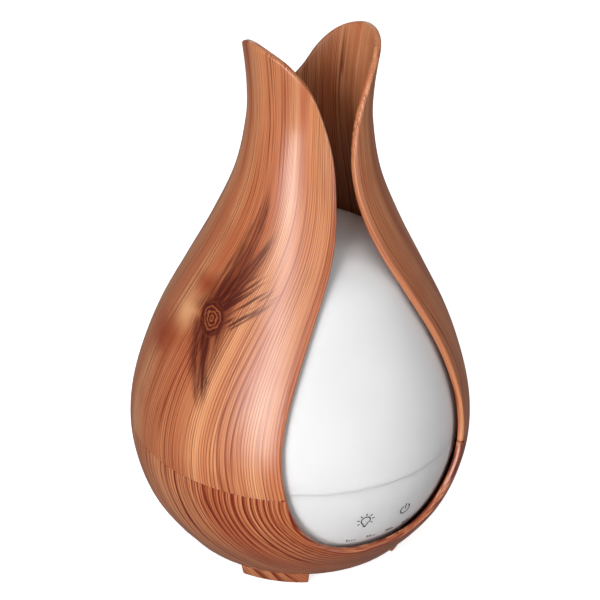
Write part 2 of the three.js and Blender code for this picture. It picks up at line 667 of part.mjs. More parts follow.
function mainBoard() {
  const { x, width, depth, z, thick } = BOARD;
  const { screwX, screwY } = BOARD;
  const holes = [-1, 1].map((s) => moved(disc(1.7, z - 1, z + thick + 1), x + screwX, s * screwY));
  const board = block(x - width / 2, x + width / 2, -depth / 2, depth / 2, z, z + thick);
  const on = z + thick + GAP;
  const fit = (name, geometry, look, px, py, turn = 0) => {
    const mesh = named(name, geometry, look);
    mesh.position.set(px, py, on);
    mesh.rotation.z = turn;
    return mesh;
  };
  const screws = [-1, 1].map((s, i) => {
    const screw = named(`board_screw_${i + 1}`, screwGeometry(2.5, 1.3, 1.2, 5), STEEL);
    screw.rotation.x = Math.PI;
    screw.position.set(x + screwX, s * screwY, on + 1.3);
    return screw;
  });
  return [
    named('main_board', worked(board, [], holes), CIRCUIT),
    fit('heat_sink', heatSink(), ALUMINIUM, x + 10, -6),
    fit('power_transistor', block(-5, 5, -2.2, 2.2, 0, 8), BLACK, x - 5, -6, Math.PI / 2),
    fit('inductor', ring(2.5, 5.5, 0, 5, 20), COPPER, x - 12, 10),
    fit('capacitor', disc(4, 0, 9.5, 20), BLACK, x + 2, 10),
    fit('control_chip', block(-4, 4, -3, 3, 0, 1.8), BLACK, x + 11, 9),
    fit('lead_header', block(-3, 3, -12, 12, 0, 5), PALE, x - 16, -9),
    ...screws,
  ];
}

function dcJack() {
  const { z, inner, face, barrel, bore, pin } = JACK;
  const body = block(-4.5, 4.5, inner, face - 3, z - 5.5, z + 5.5);
  const at = (y) => new THREE.Vector3(0, y, z);
  const sleeve = rod(at(face - 4), at(face), barrel, 20);
  const cut = rod(at(face - 9), at(face + 1), bore, 20);
  const middle = rod(at(face - 10), at(face - 1), pin, 10);
  return named('dc_jack', worked(worked(body, [sleeve], [cut]), [middle]), BLACK);
}

function touchControls() {
  const { half, front, back, low, high } = TOUCH_BOARD;
  const { r, wire, turns } = TOUCH_SPRING;
  const board = named('touch_board', block(-half, half, front, back, low, high), CIRCUIT);
  const springs = ICON_AZIMUTHS.map((azimuth, i) => {
    const x = radiusAt(ICON_Z, 0) * Math.sin(rad(azimuth));
    const far = Math.sqrt(radiusAt(ICON_Z, WHITE_DEPTH + WHITE_WALL) ** 2 - (Math.abs(x) + 4) ** 2) - 1.5;
    const start = GAP + wire + 0.1 - front;
    const coil = new THREE.Curve();
    coil.getPoint = (t, target = new THREE.Vector3()) => {
      const angle = 2 * Math.PI * turns * t;
      return target.set(x + r * Math.cos(angle), -(start + (far - start) * t), ICON_Z + r * Math.sin(angle));
    };
    return named(`touch_spring_${i + 1}`, pushed(coil, wire, 5, 27), STEEL);
  });
  return [board, ...springs];
}

// ---------------------------------------------------------------- fan and air path

function fanFrame() {
  const { x, size, z, height, bore, hub, screw } = FAN;
  const half = size / 2;
  const frame = block(x - half, x + half, -half, half, z, z + height);
  const screwHole = disc(1.8, z - 1, z + height + 1, 10);
  const cuts = [moved(disc(bore, z - 1, z + height + 1, 32), x, 0)];
  for (const sy of [-1, 1]) {
    cuts.push(moved(screwHole, x - screw, sy * screw));
    cuts.push(moved(screwHole, x + screw, sy * screw));
  }
  const strut = block(-1, 1, -bore - 1, -hub + 2, z, z + 1.5);
  const struts = SCREW_AZIMUTHS.map((a) => strut.clone().rotateZ(rad(a)));
  const seat = [[2.2, z], [hub, z], [hub, z + 1.5], [3.6, z + 1.5], [3.6, z + 6], [2.2, z + 6]];
  const spider = moved(worked(turned(seat, 24), struts), x, 0);
  return named('fan_frame', worked(worked(frame, [], cuts), [spider]), BLACK);
}

// Hub cup with a pin and seven twisted blades; it hangs over the frame's bearing seat.
function fanRotor() {
  const { x, z, height, bore, hub } = FAN;
  const top = z + height - 0.8;
  const cup = turned([
    [0, z + 2], [1.6, z + 2], [1.6, top - 1.4], [hub - 1.4, top - 1.4], [hub - 1.4, z + 2.2], [hub, z + 2.2],
    [hub, top], [0, top],
  ], 28);
  const blades = Array.from({ length: 7 }, (_, i) => {
    const sections = [hub - 0.5, (hub + bore) / 2, bore - 0.9].map((r) => {
      const pitch = rad(38 - (r - hub) * 1.2);
      const chord = 4.2 + (r - hub) * 0.12;
      const middle = (top + z + 2.2) / 2;
      const corner = (s, t) => new THREE.Vector3(
        s * chord * Math.cos(pitch) - t * Math.sin(pitch) * 0.5,
        -r,
        middle + s * Math.min(chord * Math.sin(pitch), 3) + t * Math.cos(pitch) * 0.5,
      );
      return [corner(-1, -1), corner(1, -1), corner(1, 1), corner(-1, 1)];
    });
    return throughRings(sections, false).rotateZ((2 * Math.PI * i) / 7);
  });
  const rotor = named('fan_rotor', worked(cup, blades), BLACK);
  rotor.position.x = x;
  return rotor;
}

function fanScrews() {
  return [-1, 1].map((s, i) => {
    const screw = named(`fan_screw_${i + 1}`, screwGeometry(2.7, 1.3, 1.1, 12), STEEL);
    screw.rotation.x = Math.PI;
    screw.position.set(FAN.x + s * FAN.screw, s * FAN.screw, FAN.z + FAN.height + GAP + 1.3);
    return screw;
  });
}

function airDuct() {
  const { x, z, height } = FAN;
  const low = z + height + GAP;
  const high = TANK_FLOOR_Z - GAP;
  const wall = 1.4;
  const inside = (spread) => [
    ellipse(x, 17.2 + spread, 17.2 + spread, low),
    ellipse(x - 2, 16.6 + spread, 17 + spread, low + 2),
    ellipse(CHIMNEY.x + 3, 8.5 + spread, 10.5 + spread, high - 3),
    ellipse(CHIMNEY.x, CHIMNEY.rx + spread, CHIMNEY.ry + spread, high),
  ];
  return named('air_duct', throughRings([...inside(wall), ...inside(0).reverse()], true), PALE);
}

// ---------------------------------------------------------------- internal leads

function lead(name, points) {
  const curve = new THREE.CatmullRomCurve3(points.map((p) => new THREE.Vector3(...p)));
  return named(name, pushed(curve, LEAD_R, 6, 14), WIRE);
}

// Each lead starts straight up out of the board's header.
function leads() {
  const x = BOARD.x - BOARD.width / 2 + 4;
  const top = BOARD.z + BOARD.thick + GAP + 5 + GAP + 0.1;
  const from = (name, y, points) => lead(name, [[x, y, top], [x, y, top + 2], ...points]);
  return [
    from('transducer_lead', -1, [[x - 1, -3, 23.5], [4, -4, 25], [2, -5, 28]]),
    from('led_lead', -5, [[x + 4, -11, 24], [x + 10, -20, 26], [x + 11, -22.5, 28.3]]),
    from('fan_lead', -9, [[5, -17, 21], [1, -22.5, 18], [-5, -22.5, 15], [-8, -21.6, 14]]),
    from('touch_lead', -13, [[9, -22, 24.5], [6, -40, 27], [3, -55, 28.5], [2, -60.3, 32], [2, -60.7, 38]]),
    from('power_lead', -17, [
      [14, -24, 24], [38, -25, 24], [48, 0, 24], [38, 28, 25], [19, 46, 24], [5.7, 51, 22.5],
    ]),
  ];
}

// ---------------------------------------------------------------- assembly

const cover = new THREE.Group();
cover.add(petalShell(), domeDiffuser(), mistNozzle(), mistTube());

const base = new THREE.Group();
base.add(
  lowerShell(), bottomCover(), ...footPads(), ...bottomScrews(), baseHousing(),
  waterTank(), tankFloor(), airChimney(), ...transducer(), ...lights(), ...mainBoard(),
  dcJack(), ...touchControls(), fanFrame(), ...fanScrews(), airDuct(), ...leads(),
);

const humidifier = new THREE.Group();
humidifier.add(base, cover, fanRotor());
humidifier.position.y = AXIS_Y;

export default humidifier;
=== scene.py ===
import json
import math

import bmesh
import bpy
import numpy as np
from mathutils import Matrix, Vector, geometry


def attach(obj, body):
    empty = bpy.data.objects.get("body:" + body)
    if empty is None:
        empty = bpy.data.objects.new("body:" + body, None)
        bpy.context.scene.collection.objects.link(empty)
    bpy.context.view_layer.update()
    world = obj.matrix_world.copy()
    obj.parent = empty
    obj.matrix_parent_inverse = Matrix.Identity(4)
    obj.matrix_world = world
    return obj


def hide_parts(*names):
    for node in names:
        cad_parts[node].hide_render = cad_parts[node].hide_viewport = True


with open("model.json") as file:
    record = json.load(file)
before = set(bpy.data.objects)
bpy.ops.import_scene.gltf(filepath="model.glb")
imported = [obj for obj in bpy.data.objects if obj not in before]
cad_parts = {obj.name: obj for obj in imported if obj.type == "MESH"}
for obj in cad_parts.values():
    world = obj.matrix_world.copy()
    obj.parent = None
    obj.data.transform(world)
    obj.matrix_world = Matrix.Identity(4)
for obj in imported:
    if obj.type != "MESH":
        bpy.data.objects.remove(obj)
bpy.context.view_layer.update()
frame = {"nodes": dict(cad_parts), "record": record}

# ------------------------------------------------------------------ driving dimensions, in millimetres

MM = 0.001
SHELL_PROFILE = [  # outer surface of the wood-grained shell: height, radius
    (4, 57), (10, 61.2), (20, 69.1), (32, 76.5), (46, 81.4), (62, 84), (80, 82.9), (100, 77.8),
    (122, 69.4), (146, 57), (170, 44.4), (195, 33.7), (220, 28.8), (235, 28.7), (250, 30.3), (260, 32),
]
OPENING_EDGE = [  # front edge of the opening and of the petals: degrees from the front, height
    (0, 30), (14, 31), (24.5, 37.5), (33, 52), (37.5, 74), (38.6, 95), (35, 120), (27, 147),
    (15, 172), (9.5, 194), (10.2, 211), (18, 225), (28.5, 238), (42, 247.5), (62, 256), (90, 260),
]
NOTCH_Z = 222
EDGE_STEPS = 40  # points to a span of the opening's edge
EDGE_EASING = 400
TIP_FROM = 400  # the first of the rim's points that is eased over the petal's tip
TIP_EASING = 300
SHELL_WALL = 3.3
SEAM_Z = 67
SEAM_GAP = 0.06  # from the seam's middle to each shell
FLANGE_INNER_R = 44.8
FLANGE_TOP_Z = 8
WHITE_DEPTH = 5.6
WHITE_WALL = 2
DOME_TURN_Z = 150
DOME_TOP_Z = 170
DOME_CAP_REACH = 25
DOME_HOLE_R = 9
TANK_WALL_GAP = 1.3
TANK_LOW_Z = 31
TANK_SEAT_Z = 32.7
TANK_LEDGE = 3.2
TANK_FLAT = 55.5  # the tank's flat front inside, in front of the axis
TANK_SHELF_Z = 62
TANK_RIM_Z = (64.3, 66.5)
SPIGOT_TOP_Z = 72
CHIMNEY_X = -47
CHIMNEY_OVAL = 3  # how much longer than wide its half section is
CHIMNEY_SECTION = [(5, 33), (5, 84), (7, 84), (7, 36.8), (9, 36.8), (9, 35.3), (7, 35.3), (7, 33)]
NOZZLE_SECTION = [(6.5, 158), (8.7, 158), (8.7, 170.4), (12, 170.4), (12, 172), (6.5, 172)]
TUBE_SECTION = [(9, 163), (9, 104), (12, 98), (18, 93), (19.5, 93), (19.5, 94.5), (13.8, 99), (11, 105), (11, 163)]
JACK_Z = 24
JACK_RECESS_R = 6
FOOT_CENTRES = (43, 137, 223, 317)
FOOT_HALF = 17
FOOT_SECTION = [(49.5, 7.8), (49.5, 0.35), (56.2, 0.35), (58.6, 7.8)]  # sections are lists of (radius, height)
PAD_HALF = 14
PAD_SECTION = [(49.8, 0), (53.8, 0), (53.8, 1.6), (49.8, 1.6)]
BOWL_SIDE_Z = 9.0  # the bowl's side ends here, and its underside goes on
BOWL_UNDERSIDE = [(58.8, 7.9), (57.3, 7.0), (55.4, 6.3), (53.0, 5.7), (50.6, 5.3), (48.7, 5.3), (48.5, 5.5),
                  (48.5, 6.8), (44.8, 6.8)]
ICONS_Z = 45.5
MARKS_Z = (32.6, 32.2, 31.7, 31.4)
AXIS_Y = -WHITE_DEPTH / 2

EDGE_ROUND = 1.1  # rounding of the opening's and the petals' edges
SEAM_ROUND = 0.16
WHITE_GAP = 0.04  # the dome's reach below the seam's middle, and the rounding of the white edges
GRID_Z = 3.0  # spacing of the shell's mesh along the height, in millimetres
GRID_DEG = 2.5  # and round the axis, in degrees
FLAT_STRETCH = 1.2  # millimetres to a degree, for laying the shell out flat

# ------------------------------------------------------------------ profile


def knot_slopes(knots):
    last = len(knots) - 1
    pairs = [(knots[max(k - 1, 0)], knots[min(k + 1, last)]) for k in range(last + 1)]
    return [(r1 - r0) / (z1 - z0) for (z0, r0), (z1, r1) in pairs]


PROFILE_SLOPES = knot_slopes(SHELL_PROFILE)


def profile(z):
    """Radius and slope of the shell's outer surface at height z, on a smooth curve through the knots."""
    i = 0
    while i < len(SHELL_PROFILE) - 2 and SHELL_PROFILE[i + 1][0] < z:
        i += 1
    (z0, r0), (z1, r1) = SHELL_PROFILE[i], SHELL_PROFILE[i + 1]
    w = z1 - z0
    t = (z - z0) / w
    m0, m1 = PROFILE_SLOPES[i] * w, PROFILE_SLOPES[i + 1] * w
    value = ((2 * t**3 - 3 * t**2 + 1) * r0 + (t**3 - 2 * t**2 + t) * m0
             + (3 * t**2 - 2 * t**3) * r1 + (t**3 - t**2) * m1)
    rise = (6 * t**2 - 6 * t) * (r0 - r1) + (3 * t**2 - 4 * t + 1) * m0 + (3 * t**2 - 2 * t) * m1
    return value, rise / w


def in_shell(z, depth):
    """The point that lies a depth inside the shell, square to its surface at height z."""
    r, slope = profile(z)
    n = math.hypot(1, slope)
    return r - depth / n, z + depth * slope / n


def radius_at(z, depth):
    on = z
    for _ in range(8):
        on += z - in_shell(on, depth)[1]
    return in_shell(on, depth)[0]


def run(z0, z1, depth, steps):
    return [(radius_at(z0 + (z1 - z0) * i / steps, depth), z0 + (z1 - z0) * i / steps) for i in range(steps + 1)]


def polar(r, azimuth, z):
    """A point in metres, in the row frame, from millimetres round the shell's axis. Azimuth 0 is the front."""
    a = math.radians(azimuth)
    return (r * math.sin(a) * MM, (AXIS_Y - r * math.cos(a)) * MM, z * MM)


def catmull(points, per_span):
    """A smooth line through points."""
    ends = [tuple(2 * a - b for a, b in zip(points[0], points[1])), *points,
            tuple(2 * a - b for a, b in zip(points[-1], points[-2]))]
    line = []
    for i in range(1, len(ends) - 2):
        p0, p1, p2, p3 = (np.array(p, float) for p in ends[i - 1:i + 3])
        for k in range(per_span):
            t = k / per_span
            line.append(0.5 * (2 * p1 + (p2 - p0) * t + (2 * p0 - 5 * p1 + 4 * p2 - p3) * t**2
                               + (3 * p1 - p0 - 3 * p2 + p3) * t**3))
    line.append(np.array(points[-1], float))
    return np.array(line)


def smoothed(line, reach):
    """A dense line with its knots eased out; its ends stay where they are."""
    out = line.copy()
    for _ in range(reach):
        out[1:-1] = 0.25 * out[:-2] + 0.5 * out[1:-1] + 0.25 * out[2:]
    return out


EDGE_LINE = smoothed(catmull(OPENING_EDGE, EDGE_STEPS), EDGE_EASING)


def edge_azimuth(z):
    """Degrees from the front of the opening's edge at height z, on the stretch that rises."""
    rising = EDGE_LINE[20:]
    return float(np.interp(z, rising[:, 1], rising[:, 0]))


# ------------------------------------------------------------------ mesh helpers


def mesh_object(name, verts, faces, material, smooth_deg=35, weld=1e-6):
    mesh = bpy.data.meshes.new(name)
    mesh.from_pydata([tuple(v) for v in verts], [], [tuple(f) for f in faces])
    mesh.validate()
    obj = bpy.data.objects.new(name, mesh)
    bpy.context.scene.collection.objects.link(obj)
    bm = bmesh.new()
    bm.from_mesh(mesh)
    bmesh.ops.remove_doubles(bm, verts=bm.verts, dist=weld)
    bmesh.ops.recalc_face_normals(bm, faces=bm.faces)
    bm.to_mesh(mesh)
    bm.free()
    mesh.materials.append(material)
    mesh.shade_smooth()
    if smooth_deg < 180:
        mesh.set_sharp_from_angle(angle=math.radians(smooth_deg))
    return obj


def place(obj, body, slot, *nodes):
    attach(obj, body)
    if nodes:
        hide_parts(*nodes)
    return obj


def rounded(outline, radius, steps=4, skip=()):
    """A closed outline with its corners rounded. Corners flatter than 25 degrees are left alone."""
    n = len(outline)
    out = []
    for i in range(n):
        p = np.array(outline[i], float)
        a = np.array(outline[i - 1], float) - p
        b = np.array(outline[(i + 1) % n], float) - p
        la, lb = np.linalg.norm(a), np.linalg.norm(b)
        turn = math.degrees(math.acos(np.clip(-(a @ b) / (la * lb), -1, 1)))
        if turn < 25 or i in skip or p[0] < 1e-6:
            out.append(tuple(p))
            continue
        half = math.radians(180 - turn) / 2
        cut = min(radius / math.tan(half), 0.45 * la, 0.45 * lb)
        p0, p1 = p + a / la * cut, p + b / lb * cut
        for k in range(steps + 1):
            t = k / steps
            out.append(tuple((1 - t)**2 * p0 + 2 * t * (1 - t) * p + t**2 * p1))
    return out


def tube_faces(count, sides):
    """Faces of a closed outline of count points that is carried round through a number of sides."""
    return [(k * count + i, k * count + (i + 1) % count, (k + 1) % sides * count + (i + 1) % count,
             (k + 1) % sides * count + i) for k in range(sides) for i in range(count)]


def lathe(name, outline, material, sides=144, smooth_deg=40):
    """A body turned about the shell's axis from a closed outline of (radius, height)."""
    verts, faces = [], []
    n = len(outline)
    for k in range(sides):
        verts += [polar(r, 360 * k / sides, z) for r, z in outline]
    for k in range(sides):
        for i in range(n):
            j, m = (i + 1) % n, (k + 1) % sides
            if outline[i][0] < 1e-6 and outline[j][0] < 1e-6:
                continue
            faces.append((k * n + i, k * n + j, m * n + j, m * n + i))
    return mesh_object(name, verts, faces, material, smooth_deg)


# ------------------------------------------------------------------ shells cut by smooth edges


class Edge:
    """A cut edge of a shell: a line of (azimuth, height) and the radius of its rounding."""

    def __init__(self, line, radius):
        self.line = np.array(line, float)
        self.radius = radius

    def distance(self, points):
        """Distance in millimetres along the shell's surface from each (azimuth, height) to the line."""
        a, b = self.line[:-1], self.line[1:]
        scale = np.array([metric(p[1]) for p in points])
        out = np.full(len(points), 1e9)
        for p0, p1 in zip(a, b):
            d0 = (points - p0) * scale
            e = (p1 - p0) * scale
            t = np.clip((d0 * e).sum(1) / np.maximum((e * e).sum(1), 1e-12), 0, 1)
            out = np.minimum(out, np.hypot(*(d0 - e * t[:, None]).T))
        return out

    def inset(self, d):
        """Points a distance inside the line, to its left."""
        out = []
        for i in range(len(self.line)):
            p = self.line[i]
            before, after = self.line[max(i - 1, 0)], self.line[min(i + 1, len(self.line) - 1)]
            m = metric(p[1])
            along = (after - before) * m
            along /= max(np.linalg.norm(along), 1e-12)
            out.append(p + np.array([-along[1], along[0]]) * d / m)
        return np.array(out)


def metric(z):
    """Millimetres on the shell for one degree of azimuth and for one millimetre of height."""
    r, slope = profile(z)
    return np.array([math.radians(1) * r, math.hypot(1, slope)])


def spread(line, step):
    """The line again, with points about a step apart on the shell."""
    line = np.array(line, float)
    lengths = [0.0]
    for p, q in zip(line[:-1], line[1:]):
        lengths.append(lengths[-1] + np.linalg.norm((q - p) * metric((p[1] + q[1]) / 2)))
    count = max(2, int(round(lengths[-1] / step)))
    at = np.linspace(0, lengths[-1], count + 1)
    return np.stack([np.interp(at, lengths, line[:, 0]), np.interp(at, lengths, line[:, 1])], 1)


def fade(d, radius):
    """How far a rounded edge has sunk at a distance from the edge."""
    d = np.minimum(d, radius)
    return radius - np.sqrt(np.maximum(radius**2 - (radius - d)**2, 0))


RINGS = [0.0, 0.04, 0.14, 0.3, 0.5, 0.74, 1.0]  # distances of the mesh's lines from a rounded edge, in radii


def shell_half(borders):
    """The right half of a shell, flat: points, triangles, how far each point has sunk at a rounded edge, and
    the border's points in order with whether each span is cut. borders are (line, edge or None) in order
    round the half, with its inside on their left."""
    loop, is_cut = [], []
    for line, edge in borders:
        loop += [p for p in line[:-1]]
        is_cut += [edge is not None] * (len(line) - 1)
    loop = np.array(loop)
    cuts = [edge for _, edge in borders if edge is not None]
    points = [loop]
    for edge in cuts:
        for ring in RINGS[1:]:
            d = ring * edge.radius
            at = edge.inset(d)
            keep = inside(at, loop) & (border_distance(at, loop) > d * 0.5)
            for other in cuts:
                reach = d - 0.01 * edge.radius if other is edge else min(d, other.radius) * 0.5
                keep &= other.distance(at) > reach
            points.append(at[keep])
    z_low, z_high = loop[:, 1].min(), loop[:, 1].max()
    rows = int(round((z_high - z_low) / GRID_Z))
    grid = [(a + GRID_DEG / 2 * (j % 2), z_low + (z_high - z_low) * j / rows)
            for j in range(1, rows) for a in np.arange(GRID_DEG, 180 - GRID_DEG / 2, GRID_DEG)]
    grid = np.array(grid)
    clear = inside(grid, loop) & (border_distance(grid, loop) > 0.9)
    for edge in cuts:
        clear &= edge.distance(grid) > edge.radius * 1.35 + 0.15
    points.append(grid[clear])
    points = np.vstack(points)
    count = len(loop)
    border = [(i, (i + 1) % count) for i in range(count)]
    stretch = np.array([FLAT_STRETCH, 1.0])
    flat = [Vector(p) for p in points * stretch]
    verts, _, faces, origin, _, _ = geometry.delaunay_2d_cdt(flat, border, [list(range(count))], 1, 1e-7)
    verts = np.array([tuple(v) for v in verts]) / stretch
    sunk = np.zeros(len(verts))
    for edge in cuts:
        sunk = np.maximum(sunk, fade(edge.distance(verts), edge.radius))
    now = {}
    for i, sources in enumerate(origin):
        for source in sources:
            now[source] = i
    for i in range(count):
        verts[now[i]] = loop[i]
    return verts, faces, sunk, [now[i] for i in range(count)], is_cut


def inside(points, loop):
    """Which points lie inside a closed loop."""
    x, y = points[:, 0], points[:, 1]
    result = np.zeros(len(points), bool)
    for p, q in zip(loop, np.roll(loop, -1, axis=0)):
        crosses = (p[1] > y) != (q[1] > y)
        if q[1] != p[1]:
            result ^= crosses & (x < (q[0] - p[0]) * (y - p[1]) / (q[1] - p[1]) + p[0])
    return result


def border_distance(points, loop):
    """Distance in millimetres from each point to the nearest of a loop's points."""
    out = np.empty(len(points))
    for i, p in enumerate(points):
        d = (loop - p) * metric(p[1])
        out[i] = np.hypot(d[:, 0], d[:, 1]).min()
    return out


def shell_mesh(borders, depth, wall):
    """Vertices and faces of a whole shell with a wall, from its right half and the mirror of that."""
    flat, tris, sunk, order, is_cut = shell_half(borders)
    verts, faces = [], []
    n = len(flat)
    for side in (1, -1):
        base = len(verts)
        for layer in (0, 1):
            for (azimuth, z), s in zip(flat, sunk):
                r, height = in_shell(z, depth + wall - s if layer else depth + s)
                verts.append(polar(r, side * azimuth, height))
        for t in tris:
            outer = [base + i for i in t]
            inner = [base + n + i for i in reversed(t)]
            faces.append(outer if side > 0 else outer[::-1])
            faces.append(inner if side > 0 else inner[::-1])
        count = len(order)
        for i in range(count):
            if is_cut[i]:
                p, q = order[i], order[(i + 1) % count]
                quad = [base + q, base + p, base + n + p, base + n + q]
                faces.append(quad if side > 0 else quad[::-1])
    return verts, faces


# ------------------------------------------------------------------ the grain's own coordinates

GRAIN_FRONT = 38.6  # azimuth of the opening's widest point, and the grain coordinate all along its edge
NECK_Z = 200
KNOT = (75.7, 139.1)  # azimuth to the left of the front, and height
KNOT_TILT = 34.0


def arc_heights():
    """Length up the shell's surface at each millimetre of height."""
    table = [0.0]
    for z in range(5, 262):
        table.append(table[-1] + metric(z - 0.5)[1])
    return table


ARC_HEIGHTS = arc_heights()


def up_the_shell(z):
    return float(np.interp(z, range(4, 262), ARC_HEIGHTS))


def petal_grain(azimuth, z):
    """Across, along and the layer of the grain on the petals: the lines follow the opening's edge up to the
    neck, and run on unbroken round the back."""
    front = edge_azimuth(min(max(z, SEAM_Z), NECK_Z))
    across = GRAIN_FRONT + (abs(azimuth) - front) * (180 - GRAIN_FRONT) / (180 - front)
    return (360 - across if azimuth > 0 else across), up_the_shell(z), 0.0


def bowl_grain(azimuth, z):
    """Across, along and the layer of the grain on the bowl: the lines run round under the opening. The layer
    changes slowly round the bowl, so that neither side is the other's mirror image."""
    drop = (SEAM_Z - z) * GRAIN_FRONT / (SEAM_Z - OPENING_EDGE[0][1])
    across = math.hypot(azimuth, drop)
    return across, across * math.atan2(drop, abs(azimuth) + 1e-6), 0.6 * math.sin(math.radians(azimuth))


def add_grain(obj, grain, wall_depth):
    """Stores across, along and the layer, higher on the inside, for each vertex, and its place relative to
    the knot."""
    mesh = obj.data
    knot_across, knot_along, _ = petal_grain(-KNOT[0], KNOT[1])
    mm_per_degree = metric(KNOT[1])[0]
    lines, near = [], []
    for v in mesh.vertices:
        x, y, z = v.co.x / MM, v.co.y / MM - AXIS_Y, v.co.z / MM
        azimuth = math.degrees(math.atan2(x, -y))
        depth = radius_at(min(max(z, 5), 260), 0) - math.hypot(x, y)
        across, along, layer = grain(azimuth, min(max(z, 4), 260))
        lines += [across, along, layer + (1.0 if depth > wall_depth / 2 else 0.0)]
        if azimuth < 0 and depth < wall_depth / 2:
            near += [(across - knot_across) * mm_per_degree, along - knot_along, 1.0]
        else:
            near += [500.0, 500.0, 0.0]
    for name, values in (("grain", lines), ("knot", near)):
        mesh.attributes.new(name, "FLOAT_VECTOR", "POINT").data.foreach_set("vector", values)


# ------------------------------------------------------------------ camera, lights and floor

CAMERA_AZIMUTH = -33.0
CAMERA_ELEVATION = 27.63
CAMERA_DISTANCE = 750.0
TARGET_Z = 126.1
FOCAL_PX = 1561.9
FRAME_PX = 600
CAMERA_ROLL = 1.775
CAMERA_PAN = -0.15
FLOOR_Z = -0.3
LIGHT_AIM_Z = 0.12  # in metres
COVE_START = 3600.0
COVE_R = 2400.0
COVE_TOP_Z = 6000.0


def camera():
    a, e = math.radians(CAMERA_AZIMUTH), math.radians(CAMERA_ELEVATION)
    out = Vector((math.sin(a), -math.cos(a), 0))
    place_ = out * CAMERA_DISTANCE * math.cos(e)
    place_.z = TARGET_Z + CAMERA_DISTANCE * math.sin(e)
    place_.y += AXIS_Y
    pan = math.radians(CAMERA_PAN)
    right0 = Vector((math.cos(a), math.sin(a), 0))
    forward = (right0 * math.sin(pan) - out * math.cos(pan)) * math.cos(e) + Vector((0, 0, -math.sin(e)))
    right = right0 * math.cos(pan) + out * math.sin(pan)
    up = right.cross(forward)
    roll = math.radians(CAMERA_ROLL)
    right, up = right * math.cos(roll) + up * math.sin(roll), up * math.cos(roll) - right * math.sin(roll)
    data = bpy.data.cameras.new("camera")
    data.sensor_width = 36
    data.lens = FOCAL_PX * 36 / FRAME_PX
    data.clip_start = 0.01
    obj = bpy.data.objects.new("camera", data)
    bpy.context.scene.collection.objects.link(obj)
    rot = Matrix((right, up, -forward)).transposed().to_4x4()
    obj.matrix_world = Matrix.Translation(place_ * MM) @ rot
    bpy.context.scene.camera = obj


def softbox(name, azimuth, elevation, distance, size, power):
    """An area light that points at the object from a direction in degrees and a distance in metres."""
    data = bpy.data.lights.new(name, "AREA")
    data.shape = "RECTANGLE"
    data.size, data.size_y = size
    data.energy = power
    obj = bpy.data.objects.new(name, data)
    a, e = math.radians(azimuth), math.radians(elevation)
    aim = Vector((0, 0, LIGHT_AIM_Z))
    away = Vector((math.sin(a) * math.cos(e), -math.cos(a) * math.cos(e), math.sin(e)))
    obj.location = aim + away * distance
    obj.rotation_euler = away.to_track_quat("Z", "Y").to_euler()
    bpy.context.scene.collection.objects.link(obj)


def backdrop(name, line, material):
    """A part of the stage turned from a line of (radius, height), in millimetres. It is lit, and light from it
    doesn't reach the object."""
    sides = 96
    verts = [(r * math.cos(2 * math.pi * k / sides) * MM, r * math.sin(2 * math.pi * k / sides) * MM, z * MM)
             for k in range(sides) for r, z in line]
    n = len(line)
    faces = [(k * n + i, (k + 1) % sides * n + i, (k + 1) % sides * n + i + 1, k * n + i + 1)
             for k in range(sides) for i in range(n - 1)]
    mesh = bpy.data.meshes.new(name)
    mesh.from_pydata(verts, [], faces)
    mesh.materials.append(material)
    mesh.shade_smooth()
    obj = bpy.data.objects.new(name, mesh)
    bpy.context.scene.collection.objects.link(obj)
    obj.visible_glossy = False
    obj.visible_diffuse = False
    return obj


def studio():
    world = bpy.data.worlds.new("studio")
    bpy.context.scene.world = world
    world.use_nodes = True
    background = world.node_tree.nodes["Background"]
    background.inputs["Color"].default_value = (0.98, 0.985, 1.0, 1)
    background.inputs["Strength"].default_value = 0.16
    softbox("strip", -55, 13, 1.1, (0.30, 0.85), 11.6)
    softbox("low_strip", -67, 8, 1.1, (0.20, 0.34), 2.2)
    softbox("key", -30, 42, 1.5, (0.9, 0.9), 4.0)
    softbox("top", -10, 86, 1.6, (1.6, 1.6), 4.0)
    softbox("fill", 32, 8, 1.8, (1.1, 1.3), 6.4)
    softbox("panel", 20, -1, 1.5, (1.0, 0.25), 3.8)
    softbox("back", 150, 34, 2.2, (1.8, 1.8), 13.0)
    bpy.context.scene.view_settings.view_transform = "Standard"
    pale = Nodes("floor").out(Base_Color=(0.72, 0.72, 0.72), Roughness=0.7,
                              Emission_Color=(1, 1, 1), Emission_Strength=0.74)
    backdrop("floor", [(0, FLOOR_Z), (COVE_START, FLOOR_Z)], pale)
    cove = [(COVE_START + COVE_R * math.sin(a), FLOOR_Z + COVE_R * (1 - math.cos(a)))
            for a in np.linspace(0, math.pi / 2, 17)]
    backdrop("cove", [*cove, (COVE_START + COVE_R, COVE_TOP_Z)], pale).visible_shadow = False


# ------------------------------------------------------------------ materials


